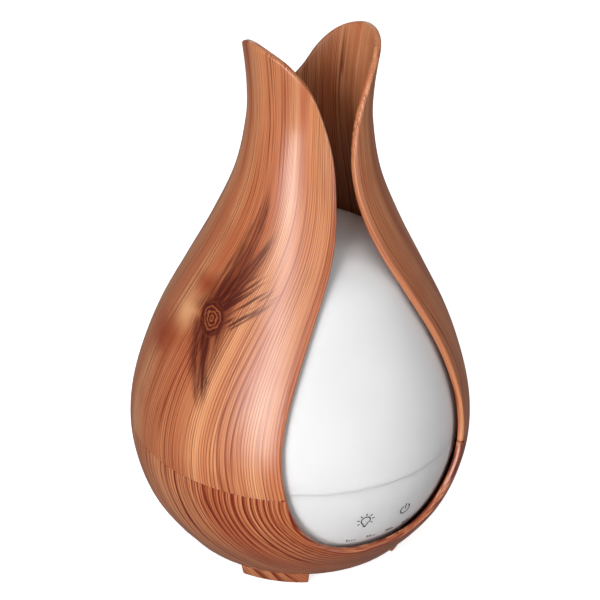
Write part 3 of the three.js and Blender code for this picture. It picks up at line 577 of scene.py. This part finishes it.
class Nodes:
    """Builds a material's node tree with short calls."""

    def __init__(self, name):
        self.material = bpy.data.materials.new(name)
        self.material.use_nodes = True
        self.tree = self.material.node_tree
        self.shader = self.tree.nodes["Principled BSDF"]

    def add(self, kind, inputs=None, **settings):
        node = self.tree.nodes.new(kind)
        for key, value in settings.items():
            setattr(node, key, value)
        for key, value in (inputs or {}).items():
            self.set(node.inputs[key], value)
        return node

    def set(self, socket, value):
        if isinstance(value, bpy.types.NodeSocket):
            self.tree.links.new(value, socket)
        else:
            socket.default_value = value

    def math(self, operation, a, b=0.0, clamp=False):
        return self.add("ShaderNodeMath", {0: a, 1: b}, operation=operation, use_clamp=clamp).outputs[0]

    def noise(self, vector, scale, detail=3.0, roughness=0.5, distortion=0.0):
        node = self.add("ShaderNodeTexNoise", {"Vector": vector, "Scale": scale, "Detail": detail,
                                               "Roughness": roughness, "Distortion": distortion})
        return node.outputs["Fac"]

    def ramp(self, value, stops):
        node = self.add("ShaderNodeValToRGB", {"Fac": value})
        elements = node.color_ramp.elements
        while len(elements) < len(stops):
            elements.new(0.5)
        for element, (at, colour) in zip(elements, stops):
            element.position = at
            element.color = (*colour, 1) if isinstance(colour, tuple) else (colour, colour, colour, 1)
        return node.outputs["Color"]

    def mix(self, factor, a, b, blend="MIX"):
        node = self.add("ShaderNodeMix", data_type="RGBA", blend_type=blend)
        self.set(node.inputs["Factor"], factor)
        for socket, value in ((node.inputs[6], a), (node.inputs[7], b)):
            self.set(socket, (*value, 1) if isinstance(value, tuple) else value)
        return node.outputs[2]

    def bump(self, height, strength, distance):
        return self.add("ShaderNodeBump", {"Height": height, "Strength": strength, "Distance": distance}).outputs[0]

    def out(self, **sockets):
        for key, value in sockets.items():
            socket = self.shader.inputs[key.replace("_", " ")]
            self.set(socket, (*value, 1) if socket.type == "RGBA" and isinstance(value, tuple) else value)
        return self.material


def srgb(code):
    """A linear colour from a hexadecimal one."""
    parts = [int(code[i:i + 2], 16) / 255 for i in (0, 2, 4)]
    return tuple(c / 12.92 if c <= 0.04045 else ((c + 0.055) / 1.055) ** 2.4 for c in parts)


WOOD_LIGHT = srgb("DAA274")
WOOD_MID = srgb("C5845A")
WOOD_WARM = srgb("AE613D")
WOOD_STRIPE = srgb("8A3A1A")
WOOD_DARK = srgb("6A1D08")
WOOD_DEEP = srgb("4C0F04")
FLAME = srgb("420B02")
KNOT_CORE = srgb("8A4A28")


def smooth_step(n, value, low, high):
    return n.add("ShaderNodeMapRange", {"Value": value, "From Min": low, "From Max": high},
                 interpolation_type="SMOOTHSTEP").outputs[0]


def wood(name, seed, line_strength, painted_shade, spread_, edge_lines, knot):
    """Wood-grain film. Its lines run along the shell's grain attribute: broad tones, growth lines that are
    sharp on one side and fade on the other, fine lines between them, and hairlines. spread_ says how much more
    of the surface the bold growth lines cover, and edge_lines how much more of it near the opening."""
    n = Nodes(name)
    lines = n.add("ShaderNodeAttribute", attribute_name="grain").outputs["Vector"]
    across, along, inner = n.add("ShaderNodeSeparateXYZ", {0: lines}).outputs
    layer = n.math("ADD", n.math("MULTIPLY", inner, 1.7), seed)

    def grain_noise(frequency, slow, shift, detail=2.0, roughness=0.5):
        at = n.add("ShaderNodeCombineXYZ", {
            0: n.math("MULTIPLY", across, frequency), 1: n.math("MULTIPLY", along, slow),
            2: n.math("ADD", layer, shift)}).outputs[0]
        return n.noise(at, 1.0, detail, roughness)

    def growth(frequency, wander, presence, shift, start):
        bend = n.math("MULTIPLY", n.math("SUBTRACT", grain_noise(0.045, 0.0035, shift), 0.5), wander)
        saw = n.math("FRACT", n.math("ADD", n.math("MULTIPLY", across, frequency), bend))
        line = n.math("MULTIPLY", smooth_step(n, saw, start, 0.90), smooth_step(n, saw, 1.0, 0.94))
        low, high = presence
        patches = grain_noise(0.16, 0.0055, shift + 3.0, 3.0, 0.6)
        shown = smooth_step(n, n.math("ADD", patches, n.math("MULTIPLY", near_edge, edge_lines)), low, high)
        return n.math("MULTIPLY", line, shown)

    near_edge = smooth_step(n, across, 84.0, 48.0)
    coarse = growth(0.42, 9.0, (0.46 - spread_, 0.66 - spread_), 2.0, 0.40)
    close = growth(0.95, 12.0, (0.34, 0.56), 13.0, 0.45)
    narrow = growth(1.9, 17.0, (0.40, 0.60), 23.0, 0.35)
    fine = smooth_step(n, grain_noise(1.5, 0.012, 7.0, 3.0, 0.6), 0.46, 0.76)
    hair = grain_noise(4.2, 0.05, 5.0, 3.0, 0.62)
    broad = grain_noise(0.075, 0.0035, 11.0)
    cloud = grain_noise(0.045, 0.035, 17.0)
    base = n.ramp(broad, [(0.28, WOOD_LIGHT), (0.50, WOOD_MID), (0.76, WOOD_WARM)])
    clouded = n.math("MULTIPLY", smooth_step(n, cloud, 0.50, 0.78), 0.45)
    # painted shade: the fourth argument mixes the darker, redder warm tone in evenly over the whole piece, to
    # darken it
    base = n.mix(n.math("ADD", clouded, painted_shade), base, WOOD_WARM)
    base = n.mix(n.math("MULTIPLY", fine, 0.34 * line_strength), base, WOOD_STRIPE)
    base = n.mix(n.math("MULTIPLY", narrow, 0.45 * line_strength), base, WOOD_STRIPE)
    base = n.mix(n.math("MULTIPLY", close, 0.80 * line_strength, clamp=True), base, WOOD_STRIPE)
    base = n.mix(n.math("MULTIPLY", coarse, 0.75 * line_strength, clamp=True), base, WOOD_DARK)
    base = n.mix(n.math("MULTIPLY", smooth_step(n, hair, 0.50, 0.80), 0.40), base, WOOD_STRIPE)
    if knot:
        base = with_knot(n, base)
    gloss = n.math("ADD", n.math("MULTIPLY", hair, 0.08), 0.29)
    grain_bump = n.bump(n.math("ADD", n.math("MULTIPLY", fine, 0.6), hair), 0.10, 0.00010)
    return n.out(Base_Color=base, Roughness=gloss, Normal=grain_bump, IOR=1.5)


def with_knot(n, base):
    """Paints the knot, its dark flames up and down the grain, the wisps beside it and two soft patches."""
    at = n.add("ShaderNodeAttribute", attribute_name="knot").outputs["Vector"]
    s, t, side = n.add("ShaderNodeSeparateXYZ", {0: at}).outputs
    rough = n.noise(n.add("ShaderNodeCombineXYZ", {0: s, 1: t, 2: 3.0}).outputs[0], 0.22, 3.0, 0.55)
    jitter = n.math("MULTIPLY", n.math("SUBTRACT", rough, 0.5), 5.0)

    def turned_by(degrees):
        """Coordinates along and to the left of a direction, in degrees from straight up towards the back."""
        c, d = math.cos(math.radians(degrees)), math.sin(math.radians(degrees))
        along = n.math("ADD", n.math("MULTIPLY", t, c), n.math("MULTIPLY", s, d))
        aside = n.math("SUBTRACT", n.math("MULTIPLY", s, c), n.math("MULTIPLY", t, d))
        return along, aside

    def oval(along, aside, length, width):
        return n.math("SQRT", n.math("ADD", n.math("POWER", n.math("DIVIDE", along, length), 2.0),
                                     n.math("POWER", n.math("DIVIDE", aside, width), 2.0)))

    def streaks(along, aside, fineness, shift, low, high):
        place_ = n.add("ShaderNodeCombineXYZ", {
            0: n.math("MULTIPLY", aside, fineness), 1: n.math("MULTIPLY", along, 0.035), 2: shift}).outputs[0]
        return smooth_step(n, n.noise(place_, 1.0, 2.5, 0.6), low, high)

    def patch(s0, t0, length, width, strength, base, colour):
        o = oval(n.math("SUBTRACT", t, t0), n.math("SUBTRACT", s, s0), length, width)
        o = n.math("ADD", o, n.math("MULTIPLY", jitter, 0.10))
        return n.mix(n.math("MULTIPLY", smooth_step(n, o, 1.2, 0.0), strength), base, colour)

    base = patch(15.0, -4.0, 12.0, 9.0, 0.75, base, WOOD_LIGHT)
    base = patch(22.0, -21.0, 15.0, 15.0, 1.0, base, WOOD_STRIPE)
    base = patch(12.0, 13.0, 6.0, 13.0, 0.8, base, WOOD_STRIPE)
    base = patch(-3.0, 2.0, 32.0, 13.0, 0.55, base, WOOD_STRIPE)
    long_way, wide_way = turned_by(KNOT_TILT)
    ell = n.math("ADD", oval(long_way, wide_way, 9.6, 6.2), n.math("MULTIPLY", jitter, 0.05))

    def flame(degrees, aside0, low, high, width_low, width_high, shift, strength, base):
        """A dark tongue with streaks along it, tapering from one end to the other."""
        along, aside = turned_by(degrees)
        off = n.math("ABSOLUTE", n.math("ADD", n.math("SUBTRACT", aside, aside0), n.math("MULTIPLY", jitter, 0.5)))
        width = n.add("ShaderNodeMapRange", {"Value": along, "From Min": low, "From Max": high,
                                             "To Min": width_low, "To Max": width_high}).outputs[0]
        body = smooth_step(n, n.math("DIVIDE", off, width), 1.15, 0.35)
        tip = (high, high - 14) if width_high < width_low else (low, low + 14)
        root = (low - 3, low + 3) if width_high < width_low else (high + 3, high - 3)
        ends = n.math("MULTIPLY", smooth_step(n, along, *tip), smooth_step(n, along, *root))
        dark = n.math("ADD", n.math("MULTIPLY", streaks(along, aside, 0.75, shift, 0.36, 0.60), 0.65), 0.35)
        return n.mix(n.math("MULTIPLY", n.math("MULTIPLY", body, ends), n.math("MULTIPLY", dark, strength)),
                     base, FLAME)

    base = flame(-2.0, 3.0, 0.0, 66.0, 13.0, 2.0, 9.0, 0.9, base)
    base = flame(-15.0, 1.0, 6.0, 50.0, 8.0, 1.4, 12.0, 0.85, base)
    base = flame(18.0, 0.5, -46.0, 0.0, 1.4, 13.0, 16.0, 0.95, base)
    # wisps that leave the knot towards the front and up
    along, aside = turned_by(-38.0)
    wisps = streaks(along, aside, 0.62, 21.0, 0.47, 0.58)
    uneven = streaks(n.math("MULTIPLY", along, 0.1), aside, 0.9, 30.0, 0.2, 0.8)
    ragged = n.math("MULTIPLY", n.math("SUBTRACT", uneven, 0.5), 9.0)
    tips = n.math("ADD", along, ragged)
    region = n.math("MULTIPLY", smooth_step(n, along, 2.0, 7.0), smooth_step(n, tips, 31.0, 22.0))
    region = n.math("MULTIPLY", region, smooth_step(n, aside, -13.0, -9.0))
    region = n.math("MULTIPLY", region, smooth_step(n, aside, 12.0, 6.0))
    base = n.mix(n.math("MULTIPLY", n.math("MULTIPLY", wisps, region), 0.85), base, FLAME)
    # the knot itself, with its rings
    ring_wave = n.math("SINE", n.math("MULTIPLY", n.math("ADD", ell, n.math("MULTIPLY", rough, 0.45)), 24.0))
    core = smooth_step(n, ell, 1.10, 0.88)
    rim = n.math("MULTIPLY", smooth_step(n, ell, 0.55, 0.92), core)
    core_colour = n.mix(smooth_step(n, ring_wave, -0.6, 1.0), WOOD_DEEP, KNOT_CORE)
    core_colour = n.mix(n.math("MULTIPLY", rim, 0.85), core_colour, FLAME)
    return n.mix(n.math("MULTIPLY", core, side), base, core_colour)


def surface(name, stretch=(1, 1, 1)):
    """A material's nodes and the object's own coordinates, stretched, in metres."""
    n = Nodes(name)
    at = n.add("ShaderNodeTexCoord").outputs["Object"]
    return n, n.add("ShaderNodeMapping", {"Vector": at, "Scale": stretch}).outputs[0]


def moulded(name, colour, roughness, grain=2600.0, bump=0.25, tone=0.12, **constants):
    """Moulded plastic or rubber: a fine texture, slow tone changes and uneven gloss."""
    n, at = surface(name)
    fine = n.noise(at, grain, 3.0, 0.6)
    slow = n.noise(at, 45.0, 3.0, 0.55)
    darker = tuple(c * (1 - tone) for c in colour)
    base = n.mix(smooth_step(n, slow, 0.35, 0.70), colour, darker)
    gloss = n.math("ADD", n.math("MULTIPLY", slow, 0.10), roughness - 0.11)
    gloss = n.math("ADD", n.math("MULTIPLY", fine, 0.12), gloss)
    return n.out(Base_Color=base, Roughness=gloss, Normal=n.bump(fine, bump, 0.00004), **constants)


def metal(name, colour, roughness, stretch):
    """Drawn or plated metal: streaks one way, and a faint stain."""
    n, at = surface(name, stretch)
    streaks = n.noise(at, 1500.0, 3.0, 0.6)
    plain_at = n.add("ShaderNodeTexCoord").outputs["Object"]
    stain = smooth_step(n, n.noise(plain_at, 110.0, 3.0, 0.6), 0.45, 0.75)
    base = n.mix(n.math("MULTIPLY", stain, 0.35), colour, tuple(c * 0.72 for c in colour))
    gloss = n.math("ADD", n.math("MULTIPLY", streaks, 0.22), roughness - 0.1)
    return n.out(Base_Color=base, Roughness=gloss, Normal=n.bump(streaks, 0.15, 0.00003), Metallic=1.0)


def diffuser(name):
    """Satin translucent white: light soaks into it, with a faint flow pattern and a very fine texture."""
    n, at = surface(name)
    flow = n.noise(at, 16.0, 2.0, 0.5)
    fine = n.noise(at, 3800.0, 2.0, 0.5)
    base = n.mix(smooth_step(n, flow, 0.35, 0.70), (0.69, 0.69, 0.695), (0.66, 0.66, 0.666))
    gloss = n.math("ADD", n.math("MULTIPLY", fine, 0.08), 0.40)
    return n.out(Base_Color=base, Roughness=gloss, Normal=n.bump(fine, 0.06, 0.00002), IOR=1.4,
                 Subsurface_Weight=0.5, Subsurface_Radius=(1.0, 1.0, 1.0), Subsurface_Scale=0.006)


def circuit(name):
    """Green solder mask over tracks, with tinned pads."""
    n, at = surface(name)
    cells = n.add("ShaderNodeTexVoronoi", {"Vector": at, "Scale": 420.0}, feature="DISTANCE_TO_EDGE",
                  distance="EUCLIDEAN").outputs["Distance"]
    dots = n.add("ShaderNodeTexVoronoi", {"Vector": at, "Scale": 260.0}, distance="EUCLIDEAN").outputs["Distance"]
    tracks = smooth_step(n, cells, 0.10, 0.06)
    pads = smooth_step(n, dots, 0.16, 0.12)
    base = n.mix(tracks, (0.010, 0.090, 0.035), (0.020, 0.160, 0.060))
    base = n.mix(pads, base, (0.55, 0.55, 0.52))
    gloss = n.math("ADD", n.math("MULTIPLY", n.noise(at, 900.0), 0.12), 0.26)
    height = n.math("ADD", tracks, pads)
    return n.out(Base_Color=base, Roughness=gloss, Metallic=n.math("MULTIPLY", pads, 0.8),
                 Normal=n.bump(height, 0.3, 0.00004))


def winding(name):
    """Enamelled copper wire, turn beside turn."""
    n, at = surface(name)
    turns = n.add("ShaderNodeTexWave", {"Vector": at, "Scale": 420.0, "Distortion": 0.3}, bands_direction="Z",
                  wave_type="BANDS").outputs["Fac"]
    base = n.mix(turns, (0.20, 0.055, 0.02), (0.62, 0.24, 0.10))
    gloss = n.math("ADD", n.math("MULTIPLY", turns, -0.12), 0.40)
    return n.out(Base_Color=base, Roughness=gloss, Metallic=0.8, Normal=n.bump(turns, 0.5, 0.0002))


def lens(name):
    """A clear yellowish LED body with a cloudier middle."""
    n, at = surface(name)
    cloud = n.noise(at, 700.0, 2.0, 0.5)
    base = n.mix(smooth_step(n, cloud, 0.35, 0.70), (0.86, 0.80, 0.42), (0.93, 0.90, 0.66))
    gloss = n.math("ADD", n.math("MULTIPLY", cloud, 0.08), 0.08)
    return n.out(Base_Color=base, Roughness=gloss, Normal=n.bump(cloud, 0.05, 0.00002), Subsurface_Weight=0.3,
                 Subsurface_Scale=0.002)


def slot_materials():
    """A material for each of the record's slots that keeps its CAD shape."""
    return {
        "wood_grain": moulded("wood_edge", WOOD_WARM, 0.4),
        "wood_tone_plastic": moulded("wood_tone_plastic", srgb("8A4A2C"), 0.48, 1700.0, 0.45),
        "white_diffuser": diffuser("white_inner"),
        "white_plastic": moulded("white_plastic", (0.74, 0.74, 0.72), 0.40, 3200.0, 0.12, 0.05),
        "silicone": moulded("silicone", (0.60, 0.58, 0.53), 0.62, 2000.0, 0.2),
        "rubber_foot": moulded("rubber_foot", (0.020, 0.018, 0.016), 0.78, 1800.0, 0.6, 0.3),
        "steel": metal("steel", (0.60, 0.60, 0.61), 0.32, (1, 1, 8)),
        "brass": metal("brass", (0.80, 0.58, 0.24), 0.28, (6, 1, 1)),
        "circuit_board": circuit("circuit_board"),
        "black_plastic": moulded("black_plastic", (0.018, 0.018, 0.020), 0.45, 2200.0, 0.5, 0.3),
        "led_lens": lens("led_lens"),
        "aluminium": metal("aluminium", (0.72, 0.73, 0.75), 0.36, (1, 12, 1)),
        "copper": winding("copper"),
        "lead_sleeve": moulded("lead_sleeve", (0.42, 0.022, 0.016), 0.42, 2600.0, 0.15, 0.2),
    }


# ------------------------------------------------------------------ pieces


def petal_shell(material):
    bottom = SEAM_Z + SEAM_GAP
    start = edge_azimuth(bottom)
    front = EDGE_LINE[(EDGE_LINE[:, 1] > bottom + 0.3)]
    front = np.vstack([[start, bottom], front])
    back = []
    for a, z in front[::-1][1:]:
        if z <= NOTCH_Z:
            break
        back.append((180 - a * min(1.0, (z - NOTCH_Z) / 12), z))
    back.append((180.0, NOTCH_Z))
    rim = np.vstack([front, back])
    rim[TIP_FROM:] = smoothed(rim[TIP_FROM:], TIP_EASING)
    rim = spread(rim[::-1], 1.2)
    seam = spread([(start, bottom), (180.0, bottom)], 2.5)
    back_line = spread([(180.0, bottom), (180.0, NOTCH_Z)], 2.5)
    back_line[:, 0] = 180.0
    rim[0], rim[-1] = (180.0, NOTCH_Z), (start, bottom)
    opening = Edge(rim, EDGE_ROUND)
    lower = Edge(seam, SEAM_ROUND)
    borders = [(seam, lower), (back_line, None), (rim, opening)]
    verts, faces = shell_mesh(borders, 0.0, SHELL_WALL)
    obj = mesh_object("petal_shell_fine", verts, faces, material, 180, 2e-6)
    add_grain(obj, petal_grain, SHELL_WALL)
    return place(obj, "cover", "wood_grain", "petal_shell")


def arc_block(corners, centre, half, steps):
    """Vertices and faces of a block that follows an arc, from its (radius, height) corners."""
    verts, faces = [], []
    n = len(corners)
    for k in range(steps + 1):
        azimuth = centre + half * (2 * k / steps - 1)
        verts += [polar(r, azimuth, z) for r, z in corners]
    for k in range(steps):
        faces += [(k * n + i, k * n + (i + 1) % n, (k + 1) * n + (i + 1) % n, (k + 1) * n + i) for i in range(n)]
    faces += [tuple(range(n)), tuple(range(steps * n + n - 1, steps * n - 1, -1))]
    return verts, faces


def bevelled(obj, width, segments=3, angle=40):
    """Rounds an object's sharp edges, in millimetres, for good."""
    bm = bmesh.new()
    bm.from_mesh(obj.data)
    sharp = [e for e in bm.edges if e.is_manifold and e.calc_face_angle() > math.radians(angle)]
    bmesh.ops.bevel(bm, geom=sharp, offset=width * MM, segments=segments, profile=0.5, affect="EDGES",
                    clamp_overlap=True)
    bm.to_mesh(obj.data)
    bm.free()
    obj.data.shade_smooth()
    obj.data.set_sharp_from_angle(angle=math.radians(60))
    return obj


def joined(first, others):
    """One object from several, as separate closed shells of one mesh."""
    with bpy.context.temp_override(active_object=first, selected_editable_objects=[first, *others],
                                   selected_objects=[first, *others], object=first):
        bpy.ops.object.join()
    return first


def foot(centre, material):
    return bevelled(mesh_object("foot", *arc_block(FOOT_SECTION, centre, FOOT_HALF, 28), material), 0.9, 4)


def lower_shell(material):
    top, low = SEAM_Z - SEAM_GAP, BOWL_SIDE_Z
    corner = edge_azimuth(top)
    first = EDGE_LINE[EDGE_LINE[:, 1] < top - 0.3]
    mouth = spread(np.vstack([first, [corner, top]])[::-1], 1.2)
    mouth[0], mouth[-1] = (corner, top), (0.0, OPENING_EDGE[0][1])
    seam = spread([(180.0, top), (corner, top)], 2.5)
    hole = [(180 - math.degrees(math.asin(JACK_RECESS_R * math.cos(t) / profile(JACK_Z)[0])),
             JACK_Z + JACK_RECESS_R * math.sin(t)) for t in np.linspace(-math.pi / 2, math.pi / 2, 25)]
    hole[0], hole[-1] = (180.0, JACK_Z - JACK_RECESS_R), (180.0, JACK_Z + JACK_RECESS_R)
    hole = np.array(hole)
    below_hole = spread([(180.0, low), (180.0, JACK_Z - JACK_RECESS_R)], 2.5)
    above_hole = spread([(180.0, JACK_Z + JACK_RECESS_R), (180.0, top)], 2.5)
    front_line = spread([(0.0, OPENING_EDGE[0][1]), (0.0, low)], 2.5)
    bottom = np.array([(a, low) for a in np.arange(0, 180.01, GRID_DEG)])
    borders = [
        (bottom, None), (below_hole, None), (hole, Edge(hole, 0.5)), (above_hole, None),
        (seam, Edge(seam, SEAM_ROUND)), (mouth, Edge(mouth, EDGE_ROUND)), (front_line, None),
    ]
    verts, faces = shell_mesh(borders, 0.0, SHELL_WALL)
    r_out, z_out = in_shell(low, 0.0)
    r_in, z_in = in_shell(low, SHELL_WALL)
    ring = [(r_out, z_out), *BOWL_UNDERSIDE, (FLANGE_INNER_R, FLANGE_TOP_Z), (r_in - 3.0, FLANGE_TOP_Z),
            (r_in - 0.8, z_in - 0.6), (r_in, z_in)]
    sides = int(360 / GRID_DEG)
    start = len(verts)
    n = len(ring)
    for k in range(sides):
        for r, z in ring:
            verts.append(polar(r, k * GRID_DEG, z))
    for k in range(sides):
        for i in range(n - 1):
            m = (k + 1) % sides
            faces.append((start + k * n + i, start + k * n + i + 1, start + m * n + i + 1, start + m * n + i))
    obj = mesh_object("lower_shell_fine", verts, faces, material, 50, 2e-5)
    obj = joined(obj, [foot(centre, material) for centre in FOOT_CENTRES])
    add_grain(obj, bowl_grain, SHELL_WALL)
    return place(obj, "base", "wood_grain", "lower_shell")


def dome_line(depth, steps):
    side = run(SEAM_Z - WHITE_GAP, in_shell(DOME_TURN_Z, depth)[1] - 0.5, depth, steps)
    r, z = side[-1]
    top = DOME_TOP_Z - (depth - WHITE_DEPTH)
    slope = profile(DOME_TURN_Z)[1]
    lift = 0.4 * (top - z)
    p = [np.array(q, float) for q in ((r, z), (r + slope * lift, z + lift), (DOME_CAP_REACH, top), (0, top))]
    cap = [(1 - t)**3 * p[0] + 3 * (1 - t)**2 * t * p[1] + 3 * (1 - t) * t**2 * p[2] + t**3 * p[3]
           for t in np.linspace(0, 1, steps + 1)[1:]]
    return side + [tuple(q) for q in cap]


def dome(material):
    outer = [p for p in dome_line(WHITE_DEPTH, 40) if p[0] > DOME_HOLE_R]
    inner = [p for p in dome_line(WHITE_DEPTH + WHITE_WALL, 40) if p[0] > DOME_HOLE_R]
    outline = outer + inner[::-1]
    obj = lathe("dome_fine", rounded(outline, WHITE_GAP), material, 180, 40)
    return place(obj, "cover", "white_diffuser", "dome_diffuser")


def base_housing(material):
    top = SEAM_Z - SEAM_GAP
    outline = [*run(8.6, top, WHITE_DEPTH, 30), (radius_at(top, WHITE_DEPTH + 1), top),
               (radius_at(64, WHITE_DEPTH + 1), 64), *run(64, 8.6, WHITE_DEPTH + WHITE_WALL, 30)]
    obj = lathe("base_housing_fine", rounded(outline, WHITE_GAP), material, 180, 40)
    return place(obj, "base", "white_diffuser", "base_housing")


def ribbon(points, width):
    """The left and the right edge of a flat stroke, as (x, y) points in millimetres."""
    pts = np.array(points, float)
    left, right = [], []
    for i in range(len(pts)):
        d = pts[min(i + 1, len(pts) - 1)] - pts[max(i - 1, 0)]
        d /= np.linalg.norm(d)
        side = np.array([-d[1], d[0]]) * width / 2
        left.append(pts[i] + side)
        right.append(pts[i] - side)
    return left, right


def arc(cx, cy, r, start, end, steps):
    return [(cx + r * math.cos(math.radians(start + (end - start) * i / steps)),
             cy + r * math.sin(math.radians(start + (end - start) * i / steps))) for i in range(steps + 1)]


def icon(name, azimuth, z, strokes, material, width=0.62):
    """Printed strokes on the white panel, a twentieth of a millimetre thick."""
    verts, faces = [], []
    scale_x, scale_y = metric(z)
    for points in strokes:
        left, right = ribbon(points, width)
        base, n = len(verts), len(left)
        for lift in (-0.05, 0.05):
            for x, y in [*left, *right[::-1]]:
                r, height = in_shell(z + y / scale_y, WHITE_DEPTH + lift)
                verts.append(polar(r, azimuth + x / scale_x, height))
        for i in range(n - 1):
            a, b, c, d = base + i, base + i + 1, base + 2 * n - 2 - i, base + 2 * n - 1 - i
            faces += [(a, b, c, d), (a + 2 * n, d + 2 * n, c + 2 * n, b + 2 * n)]
        for i in range(2 * n):
            j = (i + 1) % (2 * n)
            faces.append((base + i, base + 2 * n + i, base + 2 * n + j, base + j))
    return place(mesh_object(name, verts, faces, material, 30, 1e-8), "base", "black_plastic")


def icons(material):
    neck = [(-1.0, -2.6), (-1.0, -1.9)]
    glass = [*neck, *arc(0, 0.9, 2.5, 234, -54, 30), (1.0, -1.9), (1.0, -2.6)]
    rays = [[(3.5 * math.cos(a), 0.9 + 3.5 * math.sin(a)), (4.9 * math.cos(a), 0.9 + 4.9 * math.sin(a))]
            for a in (math.radians(d) for d in (-30, 10, 50, 90, 130, 170, 210))]
    cap = [[(-1.0, -3.1), (1.0, -3.1)], [(-0.6, -3.7), (0.6, -3.7)]]
    icon("lamp_icon", -8.0, ICONS_Z, [glass, *rays, *cap], material)
    icon("power_icon", 9.4, ICONS_Z - 0.9, [arc(0, 0, 3.0, 122, 418, 36), [(0, 0.2), (0, 3.9)]], material, 0.72)
    for i, (azimuth, z) in enumerate(zip((-12.0, -3.5, 5.4, 14.0), MARKS_Z)):
        bars = [[(x, -1.0), (x, 1.1 if k <= i else -0.1)] for k, x in enumerate((-2.1, -0.7, 0.7, 2.1))]
        icon(f"level_mark_{i + 1}", azimuth, z, bars, material, 0.7)


def foot_pads(material):
    for i, centre in enumerate(FOOT_CENTRES):
        obj = mesh_object(f"foot_pad_{i + 1}_fine", *arc_block(PAD_SECTION, centre, PAD_HALF, 24), material)
        place(bevelled(obj, 0.3, 2), "base", "rubber_foot", f"foot_pad_{i + 1}")


def mist_way(material):
    """The nozzle in the top of the dome, and the flared tube under it."""
    for node, section, radius in (("mist_nozzle", NOZZLE_SECTION, 0.6), ("mist_tube", TUBE_SECTION, 0.8)):
        obj = lathe(f"{node}_fine", rounded(section, radius), material, 96, 40)
        place(obj, "cover", "white_plastic", node)


def tank(material):
    """The tank's wall, with a flat front behind the touch board and a shelf over it."""
    wall = WHITE_DEPTH + WHITE_WALL + TANK_WALL_GAP
    inside_ = wall + WHITE_WALL
    lip, spigot = WHITE_DEPTH + 1.3, WHITE_DEPTH + WHITE_WALL + 0.6
    seat = radius_at(TANK_SEAT_Z, inside_)
    low_rim, rim = TANK_RIM_Z
    far = 1e3
    rows = [(r, z, TANK_FLAT) for r, z in run(TANK_SEAT_Z, TANK_SHELF_Z, inside_, 14)]
    rows += [(r, z, far) for r, z in run(TANK_SHELF_Z, SPIGOT_TOP_Z, inside_, 6)]
    rows += [(radius_at(z, depth), z, far) for z, depth in
             ((SPIGOT_TOP_Z, spigot), (rim, spigot), (rim, lip), (low_rim, lip), (low_rim, wall))]
    shelf = TANK_SHELF_Z - WHITE_WALL
    rows += [(radius_at(shelf, wall), shelf, far)]
    rows += [(r, z, TANK_FLAT + WHITE_WALL) for r, z in run(shelf, TANK_LOW_Z, wall, 10)]
    rows += [(seat - TANK_LEDGE, z, TANK_FLAT - TANK_LEDGE) for z in (TANK_LOW_Z, TANK_SEAT_Z)]
    sides = 240
    verts = []
    for k in range(sides):
        azimuth = 360 * k / sides
        ahead = max(math.cos(math.radians(azimuth)), 0.05)
        for r, z, flat in rows:
            verts.append(polar(soft_min(r, flat / ahead, 0.8), azimuth, z))
    faces = tube_faces(len(rows), sides)
    obj = bevelled(mesh_object("water_tank_fine", verts, faces, material, 40, 2e-5), 0.45, 3, 50)
    return place(obj, "base", "white_plastic", "water_tank")


def soft_min(a, b, blend):
    """The smaller of two numbers, with the step between them rounded."""
    h = max(blend - abs(a - b), 0) / blend
    return min(a, b) - h * h * blend / 4


def chimney(material):
    """The oval air chimney, on its flange."""
    outline = rounded(CHIMNEY_SECTION, 0.6)
    sides = 96
    verts = []
    for k in range(sides):
        t = 2 * math.pi * k / sides
        verts += [((CHIMNEY_X + r * math.cos(t)) * MM, (AXIS_Y + (r + CHIMNEY_OVAL) * math.sin(t)) * MM, z * MM)
                  for r, z in outline]
    obj = mesh_object("air_chimney_fine", verts, tube_faces(len(outline), sides), material)
    return place(obj, "base", "white_plastic", "air_chimney")


# ------------------------------------------------------------------ assembly

camera()
studio()
slots = slot_materials()
slot_of = {part["node"]: part["material_slot"] for part in frame["record"]["subparts"]}
for name, node in frame["nodes"].items():
    node.data.materials.clear()
    node.data.materials.append(slots[slot_of[name]])
white = diffuser("white_diffuser")
petal_shell(wood("wood_grain", 1.0, 1.2, 0.0, 0.03, 0.0, True))
# the bowl's wood film, with bolder lines, and a little painted shade that darkens and reddens it all over
lower_shell(wood("wood_grain_bowl", 31.0, 1.5, 0.08, 0.06, 0.17, False))
dome(white)
base_housing(white)
mist_way(slots["white_plastic"])
tank(slots["white_plastic"])
chimney(slots["white_plastic"])
icons(moulded("printed_ink", (0.022, 0.022, 0.026), 0.5, 4000.0, 0.2, 0.2))
foot_pads(slots["rubber_foot"])
